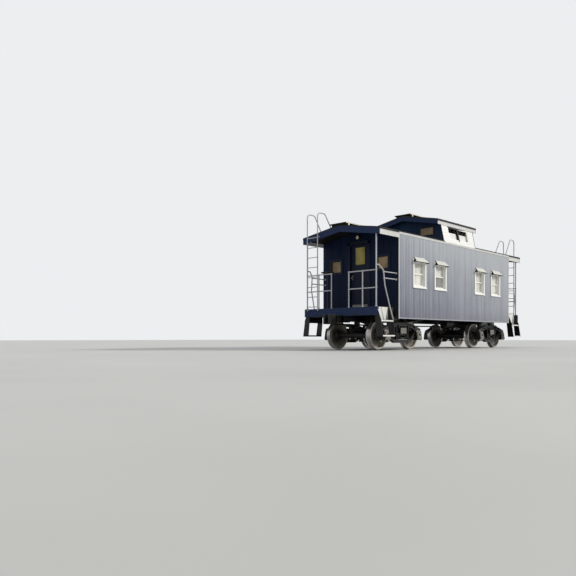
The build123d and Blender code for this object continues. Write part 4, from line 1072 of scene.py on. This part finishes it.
def springs(end, sign):
    """Separate leaves in two bows with round eyes, clips and a band with its bolts."""
    low, high, half, leaf, width = 0.328, 0.498, 0.205, 0.009, 0.110
    eye_x, clip_x = 0.197, 0.105
    middle = (low + high) / 2
    half_h = (high - low) / 2 - 0.0003
    shares = (1.0, 0.78, 0.56, 0.36)
    rise = half_h - leaf * len(shares) - 0.006
    radius = (half ** 2 + rise ** 2) / (2 * rise)
    sag = radius - radius * math.cos(math.asin(clip_x / radius))
    x = sign * TRUCK_X
    bm = bmesh.new()
    for y in (-SPRING_Y, SPRING_Y):
        for up in (1, -1):
            centre = (x, y, middle + up * (rise - radius))
            for row, share in enumerate(shares):
                inside = radius + row * leaf + 0.0004
                leaf_into(bm, centre, inside, half * share, leaf - 0.0008, width - 0.001 * row, up)
            z = sorted((middle + up * (rise - 0.006), middle + up * half_h))
            box_into(bm, (x - 0.045, x + 0.045), (y - 0.061, y + 0.061), z)
            z = sorted((middle + up * (rise - sag - 0.003), middle + up * (rise - sag + 0.022)))
            for dx in (-clip_x, clip_x):
                box_into(bm, (x + dx - 0.010, x + dx + 0.010), (y - 0.058, y + 0.058), z)
        for dx in (-eye_x, eye_x):
            place = Matrix.Translation((x + dx, y, middle)) @ Matrix.Rotation(math.pi / 2, 4, "X")
            bmesh.ops.create_cone(
                bm, cap_ends=True, segments=20, radius1=0.012, radius2=0.012, depth=width, matrix=place
            )
            for out in (-1, 1):
                heads_into(bm, [(x + dx, y + out * width / 2, middle)], Vector((0, out, 0)), 0.008, 0.004)
    bmesh.ops.recalc_face_normals(bm, faces=bm.faces)
    node = "truck_" + end + "_springs"
    rebuilt(node, "_leaves", bm, [SPRING], "spring_steel", "truck_" + end, smooth=35, bevel=0.0012)


def truck_fittings(end, sign):
    """Rivets and bolts of the castings, the bosses of the box lids and the tie straps' nuts."""
    def rows(dxs, dys, zs):
        return [(x0 + dx, side * dy, z) for dx in dxs for dy in dys for z in zs]

    x0 = sign * TRUCK_X
    bolt = (0.014, 0.010)
    bm = bmesh.new()
    for side in (-1, 1):
        out = Vector((0, side, 0))
        heads_into(bm, rows((-0.233, 0.233), (1.057,), (0.53, 0.60, 0.67)), out, *bolt)
        heads_into(bm, rows((-0.30, -0.18, 0.18, 0.30), (1.100,), (0.231,)), out, 0.011, 0.009)
        for dx in (-HALF_BASE, HALF_BASE):
            top, foot = (side * 1.135, 0.597), (side * 1.175, 0.337)
            slope = Vector((0, foot[0] - top[0], foot[1] - top[1]))
            normal = Vector((0, side * 0.9884, 0.1521))
            lid = Vector((x0 + dx, *top)) + normal * 0.014
            boss = lid + slope * 0.50
            heads_into(bm, [boss], normal, 0.045, 0.010, 20)
            heads_into(bm, [boss + normal * 0.010], normal, 0.014, 0.008)
            for shift in (-0.082, 0.082):
                points = [lid + slope * share + Vector((shift, 0, 0)) for share in (0.20, 0.82)]
                heads_into(bm, points, normal, 0.009, 0.006)
            heads_into(bm, rows((dx - 0.09, dx + 0.09), (1.100,), (0.628,)), out, *bolt)
        heads_into(bm, rows((-0.11, 0.11), (1.11, 0.93), (0.668,)), UP, *bolt)
        heads_into(bm, rows((-0.10, 0.10), (0.93, 0.80), (0.283,)), UP, *bolt)
    link("truck_" + end + "_fittings", to_mesh("truck_fittings", bm), [CAST], "truck_" + end, "cast_iron")


def worn_and_highlit(at, normal):
    """Pale grey on the lids of the journal boxes and on the frames' low members, partly dust and wear and
    partly a painted highlight of the sun; a slightly paler painted highlight on the raised rims of the
    frames.
    """
    if normal.y * at.y < 0.9 or abs(at.y) < 1.04:
        return 0
    return 1 if abs(at.y) > 1.130 or at.z < 0.36 else 2


def trucks():
    for end, sign in ENDS:
        body = "truck_" + end
        for part, ease in (
            ("sideframes", 0.005), ("bolster", 0.006), ("spring_plank", 0.003), ("brakes", 0.003)
        ):
            refined(body + "_" + part, [CAST, WORN_AND_HIGHLIT, FRAME_HIGHLIT], "cast_iron", body, ease, smooth=38, choose=worn_and_highlit)
        springs(end, sign)
        truck_fittings(end, sign)


side_wall("side_wall_left", -1)
side_wall("side_wall_right", 1)
for letter, direction in ENDS:
    end_wall("end_wall_" + letter, direction)
cupola_walls()
body_trim()
roofs()
roof_laps()
fascias()
windows()
blinds()
doors()
door_casings()
underframe()
walks()
decks()
steps()
ironwork()
lamps()
wheels()
trucks()


# Stage, light and camera

def stage():
    size = 90.0
    mesh = bpy.data.meshes.new("floor")
    corners = [(-size, -size, 0), (size, -size, 0), (size, size, 0), (-size, size, 0)]
    mesh.from_pydata(corners, [], [(0, 1, 2, 3)])
    floor = placed("floor", mesh)
    m = Finish("floor", Roughness=0.85)
    value = m.noise(0.35, detail=3)
    m.finish(m.ramp(value, [(0.3, rgb(214, 213, 210)), (0.7, rgb(222, 221, 218))]))
    mesh.materials.append(m.mat)


def light():
    """A soft world that shows as a pale background, and a low sun from the right front."""
    world = bpy.data.worlds.new("studio")
    bpy.context.scene.world = world
    world.use_nodes = True
    tree = world.node_tree
    soft = tree.nodes["Background"]
    soft.inputs["Color"].default_value = (0.95, 0.98, 1.0, 1)
    soft.inputs["Strength"].default_value = 0.50
    shown = tree.nodes.new("ShaderNodeBackground")
    shown.inputs["Color"].default_value = rgb(236, 238, 240)
    shown.inputs["Strength"].default_value = 1.0
    rays = tree.nodes.new("ShaderNodeLightPath")
    seen = rays.outputs["Is Camera Ray"]
    for name in ("Is Glossy Ray", "Is Transmission Ray"):
        either = tree.nodes.new("ShaderNodeMath")
        either.operation = "MAXIMUM"
        tree.links.new(seen, either.inputs[0])
        tree.links.new(rays.outputs[name], either.inputs[1])
        seen = either.outputs[0]
    mixed = tree.nodes.new("ShaderNodeMixShader")
    for index, socket in enumerate((seen, soft.outputs[0], shown.outputs[0])):
        tree.links.new(socket, mixed.inputs[index])
    tree.links.new(mixed.outputs[0], tree.nodes["World Output"].inputs["Surface"])
    lamp = bpy.data.lights.new("key", "SUN")
    lamp.energy = 2.10
    lamp.angle = math.radians(7)
    lamp.color = (1.0, 0.97, 0.92)
    key = placed("key", lamp)
    key.rotation_euler = Vector((0.55, -0.68, 0.42)).to_track_quat("Z", "Y").to_euler()


def camera():
    """The photo's own camera, as fitted to the corners of the body."""
    data = bpy.data.cameras.new("camera")
    data.lens = 37.10
    data.sensor_width = 36.0
    data.shift_y = 0.0871
    data.clip_end = 400
    cam = placed("camera", data)
    cam.location = (-17.994, -11.237, 0.359)
    cam.rotation_euler = (math.radians(90), 0, math.radians(-45.21))
    bpy.context.scene.camera = cam


stage()
light()
camera()
bpy.context.scene.view_settings.view_transform = "Standard"
